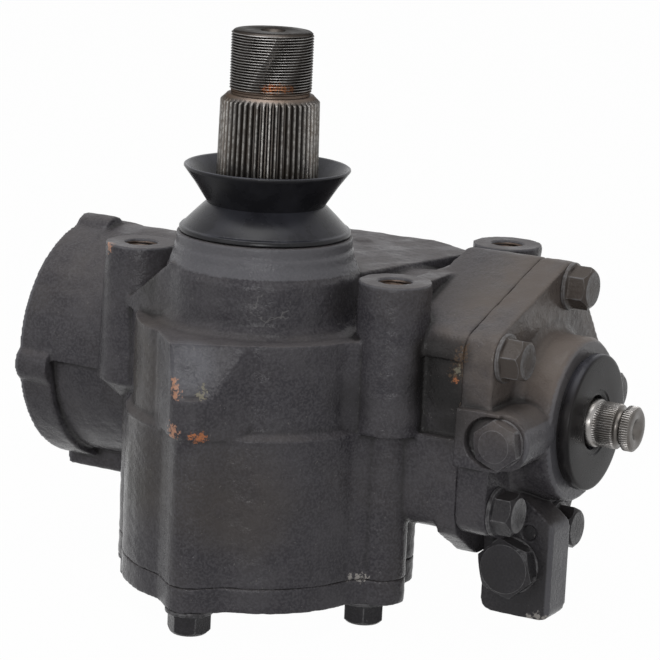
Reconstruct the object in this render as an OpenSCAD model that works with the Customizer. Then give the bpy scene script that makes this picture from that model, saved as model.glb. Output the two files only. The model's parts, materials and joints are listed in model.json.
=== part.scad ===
// Recirculating-ball power steering gear with its output shaft upward.
// Origin: centre of the four mounting holes, on the mounting plane.
// +X runs along the cylinder towards the input shaft, +Z along the output shaft.

/* [Mounting] */
// Spacing of the mounting holes along the cylinder
mount_spacing_x = 162; // [156:1:170]
// Spacing of the mounting holes across the cylinder
mount_spacing_y = 140; // [136:1:146]
// Radius of a mounting boss
mount_boss_r = 20; // [17:0.5:22]
// Tapping radius of a mounting hole
mount_tap_r = 9.25; // [7:0.05:10.5]
// Depth of a mounting hole
mount_tap_depth = 34; // [20:1:40]

/* [Cylinder] */
// Drop of the cylinder axis below the mounting plane
axis_drop = 78; // [76:0.5:82]
// Radius of the cylinder bore
bore_r = 52; // [50:0.5:53]
// Outside radius of the lower half of the barrel
barrel_r = 66; // [63:0.5:68]
// Outside radius of the upper half of the barrel
barrel_top_r = 70; // [68:0.5:72]
// Radius of the rim at the closed end
rim_r = 71; // [70:0.5:74]
// Width of the rim along the cylinder
rim_w = 21; // [18:0.5:26]
// Distance from the sector axis to the closed end
barrel_end = 162; // [156:1:172]
// Radius of the pads around the rim
pad_r = 12; // [9:0.5:14]
// Thickness of the end cover
end_cover_w = 14; // [10:0.5:18]

/* [Sector shaft] */
// Distance between the sector axis and the cylinder axis
sector_offset = 72; // [71.5:0.1:73]
// Radius of the threaded end
thread_r = 22.5; // [20:0.5:24]
// Length of the threaded end
thread_len = 34; // [24:0.5:40]
// Top of the serration above the mounting plane
serration_top = 92; // [86:0.5:98]
// Foot of the serration above the mounting plane
serration_foot = 39; // [38:0.5:46]
// Crest radius at the foot of the serration
serration_r = 28.1; // [27:0.1:29]
// Crest radius at the top of the serration
serration_top_r = 27.1; // [26:0.1:28]
// Number of serrations
serration_n = 48; // [36:1:60]
// Radius of the upper journal
journal_r = 30; // [29.5:0.1:31]
// Radius of the lower journal
trunnion_r = 25; // [22:0.5:26]
// Pitch radius of the gear sector
pitch_r = 38; // [37.8:0.1:38.2]
// Number of teeth on the full pitch circle
full_teeth = 12; // [12:1:12]
// Number of teeth on the sector
sector_teeth = 5; // [5:2:5]
// Pressure angle of the teeth
pressure_angle = 25; // [24:0.5:26]
// Face width of the sector teeth
sector_face = 64; // [54:1:66]

/* [Sector chamber] */
// Bore radius of the chamber below the boss
chamber_r = 48; // [47:0.5:49]
// Radius of the circle of cover bolts
cover_bolt_circle = 71; // [70:0.5:74]
// Radius of the columns that take the cover bolts
column_r = 14; // [12:0.5:15]
// Outside radius of the chamber wall between the columns
chamber_wall_r = 73; // [71:0.5:74]
// How far the upper block stands back from the chamber wall
block_setback = 3.5; // [2:0.5:5]
// Distance of the upper block's front face from the sector axis
block_front = 64.5; // [63:0.5:67]
// Distance of the upper block's left face from the sector axis
block_left = 64.5; // [62:0.5:67]
// Corner radius of the upper block
block_round = 14; // [10:0.5:18]
// Depth of the cover split below the mounting plane
cover_split = 166; // [164:0.5:172]
// Thickness of the cover plate
cover_w = 14; // [11:0.5:18]
// Depth of the ledge under the upper block
block_bottom = 83; // [76:0.5:90]
// Depth of the ledge on top of the upper block
block_top = 32; // [28:0.5:38]
// Radius of the sector boss at its foot
boss_r = 53.5; // [52:0.5:56]
// Radius of the sector boss at its top
boss_top_r = 48.5; // [48:0.5:50]
// Height of the sector boss above the mounting plane
boss_top = 16.5; // [14:0.5:20]

/* [Dust boot] */
// Radius of the boot's base
boot_base_r = 47.2; // [46:0.2:48]
// Radius of the boot's waist
boot_waist_r = 32.6; // [32:0.1:34]
// Height of the waist above the mounting plane
boot_waist = 33; // [31.5:0.5:35]
// Radius of the boot's lip
boot_lip_r = 45.8; // [42:0.2:48]
// Height of the lip above the mounting plane
boot_lip = 53; // [48:0.5:58]

/* [Valve housing] */
// Distance from the sector axis to the seam of the valve housing
seam = 125; // [123:0.5:128]
// Thickness of the valve flange
flange_w = 18; // [14:0.5:22]
// Radius of the circle of flange bolts
flange_bolt_circle = 72.5; // [71:0.5:75]
// Radius of the lobes round the flange bolts
lobe_r = 14; // [12:0.5:15]
// Number of flange bolts
flange_bolts = 5; // [5:1:5]
// Radius of the central boss
valve_boss_r = 46; // [44:0.5:48]
// Length of the central boss in front of the flange
valve_boss_len = 23; // [21:0.5:28]
// Bore radius for the valve sleeve
sleeve_r = 32; // [30:0.5:33]
// Radius of the dust cover
dust_cover_r = 38; // [32:0.5:40]
// Radius of the boss round the port
port_boss_r = 16; // [15:0.5:18]
// Distance of the port's face from the cylinder axis
port_reach = 73.5; // [73:0.5:78]
// Across flats of the port plug
port_plug_af = 24; // [20:1:26]
// Across flats of the relief plug
relief_plug_af = 30; // [26:1:32]

/* [Input shaft] */
// Radius of the input serration
input_r = 12.6; // [11.5:0.1:13.4]
// Number of input serrations
input_serration_n = 36; // [30:1:44]
// How far the input shaft stands out of the dust cover
input_reach = 24; // [22:0.5:32]

/* [Ball screw] */
// Outside radius of the worm
worm_r = 17; // [16.5:0.1:17.2]
// Lead of the worm
worm_lead = 12; // [11:0.5:13]
// Radius of a ball
ball_r = 3.5; // [3.2:0.1:3.6]
// Number of balls in the circuit
ball_n = 30; // [20:1:34]
// Length of the rack piston
piston_len = 130; // [128:1:136]

/* [Bolts] */
// Thread radius of the cover and flange bolts
bolt_r = 7; // [6:0.5:8]
// Across flats of the bolt heads
bolt_af = 21; // [18:1:22]
// Radius of the flange under a bolt head
bolt_flange_r = 13.5; // [11:0.5:14]
// Thickness of the flange under a bolt head
bolt_flange_w = 3; // [2:0.5:4]
// Height of a bolt head above its flange
bolt_head_h = 11; // [8:0.5:13]

/* [Clearances] */
// Radial clearance of a running fit
run_fit = 0.05; // [0.02:0.01:0.08]
// Gap between neighbours that don't touch
gap = 0.4; // [0.3:0.05:0.6]
// Backlash on each tooth flank
backlash = 0.16; // [0.1:0.01:0.3]

/* [Hidden] */

// Smoothness of round faces
$fn = 48;
// Points on each rounded corner of a cast outline
corner_steps = 6;

// Colours of the pieces
cast_paint = "#3a3a3d";
steel = "#8c8a86";
bright_steel = "#c9c8c4";
dark_steel = "#4a4a4c";
black_rubber = "#1c1c1e";

// Overlap of pieces that are joined into one solid, and overrun of cuts
joined = 1;
// Tallest radius used by a cut that has to clear everything
clear_all = 400;

// Main planes and axes
axis_z = -axis_drop;
sector_y = -sector_offset;
split_z = -cover_split;
cover_bottom = split_z - cover_w;
bolt_head_z = cover_bottom - bolt_flange_w - bolt_head_h;
flange_face = seam + flange_w;
valve_boss_face = flange_face + valve_boss_len;

// Places of the cover bolts round the sector axis, seen from above
cover_bolt_angles = [-87.5, 2.5, 36, 92.5, 135, 182.5];
bolt_end_wall = 8;
cover_bolt_depth = cover_split - axis_drop - bore_r - bolt_end_wall;
cover_bolt_points = [for (a = cover_bolt_angles) cover_bolt_circle * [cos(a), sin(a)]];

// Places of the flange bolts round the cylinder axis, seen from the input end
flange_bolt_depth = 28;
flange_bolt_points = [
    for (i = [0:flange_bolts - 1])
        flange_bolt_circle * [cos(i * 360 / flange_bolts), sin(i * 360 / flange_bolts)]
];

// Gear teeth
module_size = 2 * pitch_r / full_teeth;
tooth_pitch = PI * module_size;
tooth_angle = 360 / full_teeth;
base_r = pitch_r * cos(pressure_angle);
addendum = 0.92 * module_size;
dedendum = 1.08 * module_size;
sector_tip_r = pitch_r + addendum;
sector_root_r = pitch_r - dedendum;
sector_body_r = trunnion_r + 2;
rack_tip_y = sector_y + pitch_r - addendum;
rack_root_y = sector_y + pitch_r + dedendum;
rack_half_len = (sector_teeth / 2) * tooth_pitch + 0.3 * module_size;
piston_r = bore_r - run_fit;

// Heights along the sector axis
sector_mid = axis_z;
sector_bottom = sector_mid - sector_face / 2;
sector_top = sector_mid + sector_face / 2;
thread_foot = serration_top + 1.7;
thread_top = thread_foot + thread_len;
trunnion_end = split_z + 4;
chamber_top = sector_top + 8;
bearing_wall = 6;
bearing_top = 2;
seal_foot = 4;
seal_h = 8;
seal_r = journal_r + 11;
snap_w = 2;
snap_foot = seal_foot + seal_h + 0.2;
spigot_top = axis_z - bore_r - 2;
spigot_r = chamber_r - run_fit;
lower_bearing_r = trunnion_r + bearing_wall;
lower_bearing_foot = split_z + 2;

// Adjuster at the lower end of the sector shaft
adjuster_r = 7;
adjuster_head_r = 12;
adjuster_head_h = 5;
adjuster_pocket = 11;
adjuster_nut_af = 24;
adjuster_nut_h = 7;
adjuster_boss_r = 16;
adjuster_boss_h = 3;
adjuster_end = bolt_head_z + 2;

// Ball screw
ball_circle = worm_r + 1;
groove_clear = 0.35;
nut_clear = 0.55;
nut_bore_r = worm_r + 1.6;
groove_r = ball_r + groove_clear;
nut_groove_r = ball_r + nut_clear;
ball_spacing = 2 * ball_r + 0.5;
ball_turns = ball_n * ball_spacing / (2 * PI * ball_circle);
circuit_mid = 22;
circuit_half = (ball_turns / 2 + 0.4) * worm_lead;
full_lock = 45;
piston_travel = pitch_r * full_lock * PI / 180;
piston_wall = 4;
piston_left = -piston_len / 2;
piston_right = piston_len / 2;
worm_tip = 3;
worm_core_r = worm_r - 5;
worm_collar_r = worm_r + 0.6;
worm_thread_start = piston_left + piston_wall + piston_travel + worm_tip + 2;
worm_thread_end = circuit_mid + circuit_half + piston_travel + 3;
groove_points = 20;
groove_slices_per_turn = 14;
worm_bore_r = 6;
torsion_r = 4.6;

// Stations along the cylinder axis, from the bearing to the input end
spigot_start = seam - 27;
adjuster_w = 6;
bearing_start = spigot_start + adjuster_w;
bearing_end = bearing_start + 12;
worm_neck_r = worm_r + 2;
worm_bearing_r = worm_neck_r + 15;
worm_flange_r = worm_neck_r + 5;
worm_end = bearing_end + 6;
sleeve_end = worm_end + 30;
spool_r = 16;
spool_start = worm_end + 1;
input_journal_r = 13.5;
input_bearing_start = sleeve_end + 1;
input_bearing_end = input_bearing_start + 6;
input_bearing_r = input_journal_r + 5;
input_seal_start = input_bearing_end + 0.5;
input_seal_end = input_seal_start + 4;
input_seal_r = input_journal_r + 9;
retainer_w = 1.4;
retainer_h = 1.6;
retainer_x = input_seal_end + 0.1;
dust_cover_face = valve_boss_face + 8;
dust_cover_back = retainer_x + retainer_w + 0.1;
dust_cover_hole_r = input_r + 2.4;
input_end = dust_cover_face + input_reach;
torsion_start = 70;
torsion_end = input_seal_end + 4;
pin_r = 2.4;
worm_pin_x = torsion_start + 8;
input_pin_x = torsion_end - 6;

// Ports and lower block of the valve housing
port_x = seam + port_boss_r + 10;
port_bore_r = 9;
port_plug_head = 9;
plug_washer_w = 1.5;
block_x0 = seam;
block_x1 = valve_boss_face + 1;
block_y0 = -sleeve_r - 1;
block_y1 = block_y0 + 21;
relief_x = seam + 18;
relief_face_r = relief_plug_af / 2 / cos(30) + gap;
relief_z = axis_z - flange_bolt_circle - 6.5;
block_z0 = relief_z - 29;
block_z1 = axis_z - valve_boss_r + 6;
relief_bore_r = 9;
relief_head = 10;
relief_depth = 16;
ball_plug_r = 4;

// Points of a convex outline whose corners are arcs about the given points
function wrap(i, list) = list[(i + len(list)) % len(list)];
function edge_normal(a, b) = atan2(b.y - a.y, b.x - a.x) - 90;
function turn(a, b) = (b - a + 720) % 360;
function rounded_outline(points, r) = [
    for (i = [0:len(points) - 1])
        let (
            start = edge_normal(wrap(i - 1, points), points[i]),
            sweep = turn(start, edge_normal(points[i], wrap(i + 1, points)))
        )
        for (k = [0:corner_steps])
            let (a = start + sweep * k / corner_steps)
            points[i] + r * [cos(a), sin(a)]
];

// Involute of the base circle: polar angle at a radius
function involute_angle(r) =
    let (roll = sqrt(max(0, pow(r / base_r, 2) - 1)))
    roll * 180 / PI - atan(roll);

// Half the angle that a sector tooth fills at a radius
function tooth_half_angle(r) =
    tooth_angle / 4 + involute_angle(pitch_r) - involute_angle(max(r, base_r))
    - backlash / pitch_r * 180 / PI;

// Outline of one sector tooth on the +Y side
flank_steps = 6;
tooth_start_r = sector_root_r - 1.5;
function flank_r(k) = tooth_start_r + (sector_tip_r - tooth_start_r) * k / flank_steps;
tooth_outline = concat(
    [for (k = [0:flank_steps])
        let (r = flank_r(k), a = 90 - tooth_half_angle(r)) r * [cos(a), sin(a)]],
    [for (k = [flank_steps:-1:0])
        let (r = flank_r(k), a = 90 + tooth_half_angle(r)) r * [cos(a), sin(a)]]
);

// Cross-section of a ball groove cut into a round bar or wall, with a lead of one turn
function groove_depth(a, r) =
    let (s = (a > 180 ? a - 360 : a) / 360 * worm_lead)
    sqrt(max(0, r * r - s * s));
worm_section = [
    for (i = [0:groove_points - 1])
        let (
            a = i * 360 / groove_points,
            r = min(worm_r, ball_circle - groove_depth(a, groove_r))
        )
        r * [cos(a), sin(a)]
];
nut_section = [
    for (i = [0:groove_points - 1])
        let (
            a = i * 360 / groove_points,
            r = max(nut_bore_r + 0.3, ball_circle + groove_depth(a, nut_groove_r))
        )
        r * [cos(a), sin(a)]
];

// Round bar along the cylinder axis
module x_bar(r, x0, x1, y = 0, z = 0) {
    translate([x0, y, axis_z + z]) rotate([0, 90, 0]) cylinder(r = r, h = x1 - x0);
}

// Ring along the cylinder axis
module x_ring(r_out, r_in, x0, x1) {
    difference() {
        x_bar(r_out, x0, x1);
        x_bar(r_in, x0 - joined, x1 + joined);
    }
}

// Prism along the cylinder axis, drawn as seen from the input end
module x_prism(x0, x1) {
    translate([x0, 0, axis_z]) rotate([90, 0, 90]) linear_extrude(x1 - x0) children();
}

// Round bar along the sector axis
module z_bar(r, z0, z1) {
    translate([0, sector_y, z0]) cylinder(r = r, h = z1 - z0);
}

// Ring along the sector axis
module z_ring(r_out, r_in, z0, z1) {
    difference() {
        z_bar(r_out, z0, z1);
        z_bar(r_in, z0 - joined, z1 + joined);
    }
}

// Round bar along Y, from one side to the other
module y_bar(r, y0, y1, x, z) {
    translate([x, y1, z]) rotate([90, 0, 0]) cylinder(r = r, h = y1 - y0);
}

// Helical bar along the cylinder axis with the section of a ball groove
module groove_bar(section, x0, x1) {
    turns = (x1 - x0) / worm_lead;
    phase = 360 * (x0 - circuit_mid) / worm_lead;
    translate([x0, 0, axis_z])
        rotate([phase, 0, 0])
            rotate([90, 0, 90])
                linear_extrude(
                    x1 - x0, twist = -360 * turns,
                    slices = ceil(turns * groove_slices_per_turn), segments = groove_points
                )
                    polygon(section);
}

// Star outline of a serration
module serration_outline(r, depth, n) {
    polygon([
        for (i = [0:n - 1])
            for (step = [[-0.36, depth], [-0.14, 0], [0.14, 0], [0.36, depth]])
                let (a = (i + step[0]) * 360 / n) (r - step[1]) * [cos(a), sin(a)]
    ]);
}

// Hexagon by its across-flats size
module hexagon(af) {
    circle(r = af / 2 / cos(30), $fn = 6);
}

// Hexagon with chamfered corners, face up at h
module hex_head(af, h) {
    chamfer = 0.12 * af;
    rise = chamfer / 2;
    intersection() {
        linear_extrude(h) hexagon(af);
        union() {
            cylinder(r = af, h = h - rise);
            translate([0, 0, h - rise])
                cylinder(r1 = af / 2 + chamfer, r2 = 0.48 * af, h = rise);
        }
    }
}

// Flange bolt with its seat at the origin, head up
module flange_bolt(length) {
    translate([0, 0, bolt_flange_w]) hex_head(bolt_af, bolt_head_h);
    cylinder(r1 = bolt_flange_r, r2 = bolt_flange_r - 1, h = bolt_flange_w);
    translate([0, 0, -length]) cylinder(r = bolt_r, h = length + joined);
}

// Places children at each cover bolt
module at_cover_bolts() {
    for (p = cover_bolt_points)
        translate([p.x, sector_y + p.y, 0]) children();
}

// Places children at each flange bolt, turned along the cylinder axis
module at_flange_bolts(x) {
    for (p = flange_bolt_points)
        translate([x, p.x, axis_z + p.y]) rotate([0, 90, 0]) children();
}

// Places children at the mounting holes
module at_mounts() {
    for (sx = [-1, 1])
        for (sy = [-1, 1])
            translate([sx * mount_spacing_x / 2, sy * mount_spacing_y / 2, 0]) children();
}

// Barrel with its rim and pads, and a flat foot under the closed end
pad_reach = rim_r - pad_r + 4.5;
pad_turn = 4;
foot_len = 44;
foot_half_w = 16;
foot_depth = rim_r + 6.5;
foot_round = 4;
module barrel_foot() {
    side = foot_half_w - foot_round;
    x_prism(-barrel_end, foot_len - barrel_end)
        polygon(rounded_outline([
            [-side, foot_round - foot_depth], [side, foot_round - foot_depth],
            [side, -barrel_r], [-side, -barrel_r]
        ], foot_round));
}

module barrel() {
    x_bar(barrel_r, -barrel_end, seam - 20);
    intersection() {
        x_bar(barrel_top_r, -barrel_end, seam - 20);
        translate([-clear_all / 2, -clear_all / 2, axis_z]) cube([clear_all, clear_all, clear_all]);
    }
    x_bar(rim_r, -barrel_end, rim_w - barrel_end);
    for (a = [pad_turn:90:pad_turn + 180])
        x_bar(pad_r, -barrel_end, rim_w - barrel_end, pad_reach * cos(a), pad_reach * sin(a));
    barrel_foot();
}

// Section of the housing behind the seam, with the flange that carries the valve housing
section_start = 79;
flange_root = 12;
foot_drop = 11;
foot_w = 22;
module flange_foot() {
    low_front = flange_bolt_points[3];
    polygon(rounded_outline([
        low_front,
        low_front + [0, -foot_drop / 2],
        low_front + [foot_w, -1.75 * foot_drop],
        low_front + [foot_w, 0]
    ], lobe_r - 1));
}

module flange_section() {
    x_prism(section_start, seam) polygon(rounded_outline(flange_bolt_points, lobe_r));
    x_prism(seam - flange_root, seam) flange_foot();
}

// Lower chamber, upper block and sector boss
block_front_angle = -41;
block_left_angle = -135;
block_side = 75;
block_back = 40;

// Corner where two walls meet, each given by its normal and its distance
function wall_corner(a, da, b, db) =
    let (turn_ab = sin(b - a))
    [(da * sin(b) - db * sin(a)) / turn_ab, (db * cos(a) - da * cos(b)) / turn_ab];
block_points = [
    wall_corner(block_left_angle, block_left - block_round, block_front_angle, block_front - block_round),
    wall_corner(block_front_angle, block_front - block_round, 0, block_side),
    [block_side, block_back],
    [-block_side, block_back],
    wall_corner(180, block_side, block_left_angle, block_left - block_round)
];

// Outline of the chamber: a round wall that swells softly into a column at each cover bolt
column_spread = 18;
outline_step = 2;
function angle_between(a, b) = abs((a - b + 900) % 360 - 180);
function swell(a) =
    let (near = min([for (b = cover_bolt_angles) angle_between(a, b)]), t = max(0, 1 - near / column_spread))
    t * t * (3 - 2 * t);
function chamber_points(setback = 0, first = 0, last = 360 - outline_step) = [
    for (a = [first:outline_step:last])
        let (r = chamber_wall_r + (cover_bolt_circle + column_r - chamber_wall_r) * swell(a) - setback)
        r * [cos(a), sin(a)]
];

// Prism of the chamber's outline, with two more lobes on the right, each given by its centre and radius
side_lobes = [[cover_bolt_circle + 9, 4, 13.5], [cover_bolt_circle - 10, 40, 18.5]];
module chamber_prism(h) {
    linear_extrude(h) polygon(chamber_points());
    for (lobe = side_lobes)
        translate([lobe.x, lobe.y, 0]) cylinder(r = lobe.z, h = h);
}

// Upper block, with a leaning facet on its front corner
ledge_rise = 6;
facet_angle = -62;
facet_reach = 71;
facet_tilt = 12;
facet_drop = 30;
module upper_block() {
    difference() {
        union() {
            translate([0, sector_y, -block_bottom])
                linear_extrude(block_bottom - block_top)
                    polygon(rounded_outline(block_points, block_round));
            translate([0, sector_y, -block_bottom])
                linear_extrude(block_bottom - block_top)
                    polygon(chamber_points(block_setback, 180, 360));
        }
        translate([0, sector_y, -block_top])
            rotate([0, 0, facet_angle])
                translate([facet_reach, 0, 0])
                    rotate([0, -facet_tilt, 0])
                        translate([0, -cover_bolt_circle, -facet_drop])
                            cube([facet_drop, 2 * cover_bolt_circle, 2 * facet_drop]);
    }
}

module sector_casting() {
    translate([0, sector_y, split_z]) chamber_prism(cover_split - block_bottom);
    translate([0, sector_y, -block_bottom - joined])
        cylinder(r1 = chamber_wall_r + joined, r2 = chamber_wall_r - ledge_rise, h = ledge_rise + joined);
    upper_block();
    foot = 7;
    translate([0, sector_y, 0])
        rotate_extrude()
            polygon([
                [0, -block_top - joined], [boss_r + foot + 2, -block_top - joined],
                [boss_r + foot, -block_top], [boss_r + foot / 3, -block_top + foot / 3],
                [boss_r, -block_top + foot], [boss_r, -4], [boss_top_r + 1.5, 5],
                [boss_top_r + 1, 9], [boss_top_r, 9.5], [boss_top_r, boss_top - 0.6],
                [boss_top_r - 0.6, boss_top], [0, boss_top]
            ]);
}

// Sloping gusset between the left end of the block and the boss
gusset_w = 22;
gusset_angle = -117;
gusset_near = 14;
gusset_far = 62;
gusset_top = 1;
module gusset() {
    foot = -block_top - joined;
    translate([0, sector_y, 0])
        rotate([0, 0, gusset_angle])
            translate([boss_r - 1.5, 0, 0])
                rotate([90, 0, -90])
                    linear_extrude(gusset_w)
                        polygon([
                            [0, foot], [gusset_far + 6, foot], [gusset_far, -block_top + 2],
                            [gusset_near, gusset_top], [0, gusset_top]
                        ]);
}

// Mounting posts and bosses
post_cone = 12;
post_draft = 3;
rear_post_foot = 8;
module mount_posts() {
    x = mount_spacing_x / 2;
    y = mount_spacing_y / 2;
    translate([x, -y, -block_bottom]) cylinder(r = mount_boss_r, h = block_bottom);
    translate([-x, -y, -axis_drop])
        cylinder(r1 = mount_boss_r + post_draft, r2 = mount_boss_r, h = axis_drop);
    translate([-x, -y, -axis_drop - post_cone])
        cylinder(r1 = mount_boss_r * 0.45, r2 = mount_boss_r + post_draft, h = post_cone);
    for (sx = [-1, 1])
        translate([sx * x, y, axis_z + rear_post_foot])
            cylinder(r = mount_boss_r, h = axis_drop - rear_post_foot);
}

// Top plate behind the boss and the rib between the right-hand mounting bosses
plate_drop = 5;
plate_edge = 8;
plate_pad_y = 43;
plate_pad_r = 5;
rib_w = 12;
plate_right = [[38, -36], [58, 52], [34, 64]];
plate_left = [for (i = [2:-1:0]) [-plate_right[i].x, plate_right[i].y]];
module top_plate() {
    x = mount_spacing_x / 2;
    y = mount_spacing_y / 2;
    translate([0, 0, axis_z])
        linear_extrude(axis_drop - plate_drop)
            polygon(rounded_outline(concat(plate_right, plate_left), plate_edge));
    translate([x - rib_w / 2, -y, axis_z])
        cube([rib_w, 2 * y, axis_drop - plate_drop + 1]);
    translate([0, plate_pad_y, axis_z]) cylinder(r = plate_pad_r, h = axis_drop - plate_drop + 1.2);
}

// Recess in the front of the section, between the front post and the seam
recess_w = 25;
recess_depth = 4.5;
recess_top = 38;
module front_recess() {
    front = flange_bolt_points[2].x - lobe_r;
    translate([seam - recess_w, front + recess_depth - clear_all, -block_bottom + 2])
        cube([recess_w + joined, clear_all, block_bottom - 2 - recess_top]);
}

// Bores and tapped holes of the housing
module housing_bores() {
    x_bar(bore_r, end_cover_right, seam + joined);
    x_bar(end_cover_r, -barrel_end - joined, end_cover_right + run_fit);
    x_bar(end_cover_r + end_ring_h, end_ring_x, end_ring_x + end_ring_w);
    z_bar(chamber_r, split_z - joined, chamber_top);
    z_bar(journal_r + bearing_wall, chamber_top - joined, seal_foot - 0.5);
    z_bar(journal_r + 1, chamber_top - joined, boss_top + joined);
    z_bar(seal_r, seal_foot, boss_top + joined);
    z_bar(seal_r + 2, snap_foot, snap_foot + snap_w);
    at_mounts()
        translate([0, 0, -mount_tap_depth]) cylinder(r = mount_tap_r, h = mount_tap_depth + joined);
    at_cover_bolts()
        translate([0, 0, split_z - joined]) cylinder(r = bolt_r + run_fit, h = cover_bolt_depth + 2);
    at_flange_bolts(seam - flange_bolt_depth - 1)
        cylinder(r = bolt_r + run_fit, h = flange_bolt_depth + 2);
}

module housing() {
    color(cast_paint)
        difference() {
            union() {
                barrel();
                flange_section();
                sector_casting();
                gusset();
                mount_posts();
                top_plate();
            }
            front_recess();
            housing_bores();
        }
}

// Cover that closes the left end of the cylinder, held by a ring
end_cover_r = bore_r + 2;
end_ring_x = -barrel_end + 4;
end_ring_w = 3;
end_cover_left = end_ring_x + end_ring_w;
end_cover_right = end_cover_left + end_cover_w;
end_seal_w = 4;
end_seal_h = 3;
end_seal_x = end_cover_left + (end_cover_w - end_seal_w) / 2;
end_ring_h = 3;
end_ring_gap = 8;
module cylinder_end_cover() {
    color(cast_paint)
        difference() {
            union() {
                x_bar(end_cover_r - run_fit, end_cover_left, end_cover_right);
                x_bar(adjuster_boss_r, end_cover_left - end_ring_w, end_cover_right);
            }
            x_ring(end_cover_r + joined, end_cover_r - end_seal_h, end_seal_x, end_seal_x + end_seal_w);
            x_bar(0.7 * bore_r, end_cover_right - end_cover_w / 3, end_cover_right + joined);
        }
}

module end_cover_seal() {
    color(black_rubber)
        x_ring(end_cover_r - run_fit, end_cover_r - end_seal_h + run_fit,
               end_seal_x + run_fit, end_seal_x + end_seal_w - run_fit);
}

module end_cover_ring() {
    color(dark_steel)
        difference() {
            x_ring(end_cover_r + end_ring_h - run_fit, end_cover_r - end_ring_h - 1,
                   end_ring_x + run_fit, end_ring_x + end_ring_w - run_fit);
            translate([end_ring_x - joined, -end_ring_gap / 2, axis_z - clear_all / 2])
                cube([end_ring_w + 2 * joined, end_ring_gap, clear_all / 2]);
        }
}

// Side cover under the sector chamber, with the lower bearing and the adjuster
seal_groove_r = chamber_r + 2.2;
seal_groove_w = 2.4;
module side_cover() {
    color(cast_paint)
        difference() {
            union() {
                translate([0, sector_y, cover_bottom]) chamber_prism(cover_w);
                z_bar(spigot_r, split_z - joined, spigot_top);
                z_bar(adjuster_boss_r, cover_bottom - adjuster_boss_h, cover_bottom + joined);
            }
            z_bar(lower_bearing_r, lower_bearing_foot, spigot_top + joined);
            z_bar(adjuster_r + run_fit, cover_bottom - clear_all / 4, split_z + joined);
            z_bar(trunnion_r - 4, split_z - 2, lower_bearing_foot + joined);
            at_cover_bolts()
                translate([0, 0, cover_bottom - joined])
                    cylinder(r = bolt_r + run_fit, h = cover_w + 2 * joined);
            z_ring(seal_groove_r + seal_groove_w, seal_groove_r, split_z - 2, split_z + joined);
        }
}

module side_cover_seal() {
    color(black_rubber)
        z_ring(seal_groove_r + seal_groove_w - run_fit, seal_groove_r + run_fit, split_z - 2, split_z);
}

module side_cover_bolts() {
    color(dark_steel)
        at_cover_bolts()
            translate([0, 0, cover_bottom]) mirror([0, 0, 1]) flange_bolt(cover_w + cover_bolt_depth);
}

module sector_lower_bearing() {
    color(steel)
        z_ring(lower_bearing_r - run_fit, trunnion_r + run_fit, lower_bearing_foot, spigot_top - 1);
}

module sector_adjuster_screw() {
    top = trunnion_end + adjuster_pocket - gap;
    color(steel) {
        difference() {
            z_bar(adjuster_r, adjuster_end, top - adjuster_head_h + joined);
            z_bar(adjuster_r / 2, adjuster_end - joined, adjuster_end + 4);
        }
        z_bar(adjuster_head_r - run_fit, top - adjuster_head_h, top);
    }
}

module adjuster_lock_nut() {
    foot = cover_bottom - adjuster_boss_h;
    color(dark_steel)
        difference() {
            translate([0, sector_y, foot]) mirror([0, 0, 1]) hex_head(adjuster_nut_af, adjuster_nut_h);
            z_bar(adjuster_r + run_fit, foot - 2 * adjuster_nut_h, foot + joined);
        }
}

module sector_upper_bearing() {
    color(steel)
        z_ring(journal_r + bearing_wall - run_fit, journal_r + run_fit, chamber_top, bearing_top);
}

module sector_shaft_seal() {
    color(black_rubber)
        z_ring(seal_r - run_fit, journal_r + run_fit, seal_foot, seal_foot + seal_h);
}

module sector_seal_ring() {
    color(dark_steel)
        z_ring(seal_r + 2 - run_fit, journal_r + 6, snap_foot + run_fit, snap_foot + snap_w - run_fit);
}

// Output shaft with its gear sector
centre_hole_r = 3.5;
centre_hole_depth = 9;
thread_chamfer = 1.5;
shoulder_r = thread_r + 1.5;
serration_h = serration_top - serration_foot;
serration_depth = 2.2;
serration_chamfer = 3;
module output_serration() {
    taper_h = serration_h + joined - serration_chamfer;
    translate([0, sector_y, serration_foot - joined])
        intersection() {
            linear_extrude(serration_h + joined)
                serration_outline(serration_r + 0.3, serration_depth, serration_n);
            union() {
                cylinder(r1 = serration_r, r2 = serration_top_r, h = taper_h);
                translate([0, 0, taper_h])
                    cylinder(r1 = serration_top_r, r2 = shoulder_r, h = serration_chamfer);
            }
        }
}

module sector_shaft() {
    color(steel)
        difference() {
            union() {
                z_bar(thread_r, serration_top, thread_top - thread_chamfer);
                translate([0, sector_y, thread_top - thread_chamfer])
                    cylinder(r1 = thread_r, r2 = thread_r - thread_chamfer, h = thread_chamfer);
                z_bar(shoulder_r, serration_foot, serration_top + 0.6);
                output_serration();
                z_bar(journal_r, sector_top - joined, serration_foot);
                z_bar(trunnion_r, trunnion_end, sector_bottom + joined);
                z_bar(sector_body_r, sector_bottom, sector_top);
                translate([0, sector_y, sector_bottom])
                    linear_extrude(sector_face)
                        sector_gear();
            }
            z_bar(centre_hole_r, thread_top - centre_hole_depth, thread_top + joined);
            translate([0, sector_y, thread_top + 0.5 - centre_hole_r])
                cylinder(r1 = centre_hole_r, r2 = 2 * centre_hole_r, h = centre_hole_r);
            z_bar(adjuster_head_r, trunnion_end - joined, trunnion_end + adjuster_pocket);
        }
}

// Sector teeth and the web that carries them
module sector_gear() {
    half = floor(sector_teeth / 2) * tooth_angle + tooth_half_angle(sector_root_r);
    web_steps = 12;
    polygon(concat(
        [[0, 0]],
        [for (k = [0:web_steps])
            let (a = 90 - half + 2 * half * k / web_steps) sector_root_r * [cos(a), sin(a)]]
    ));
    for (i = [-floor(sector_teeth / 2):floor(sector_teeth / 2)])
        rotate([0, 0, i * tooth_angle]) polygon(tooth_outline);
}

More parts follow.
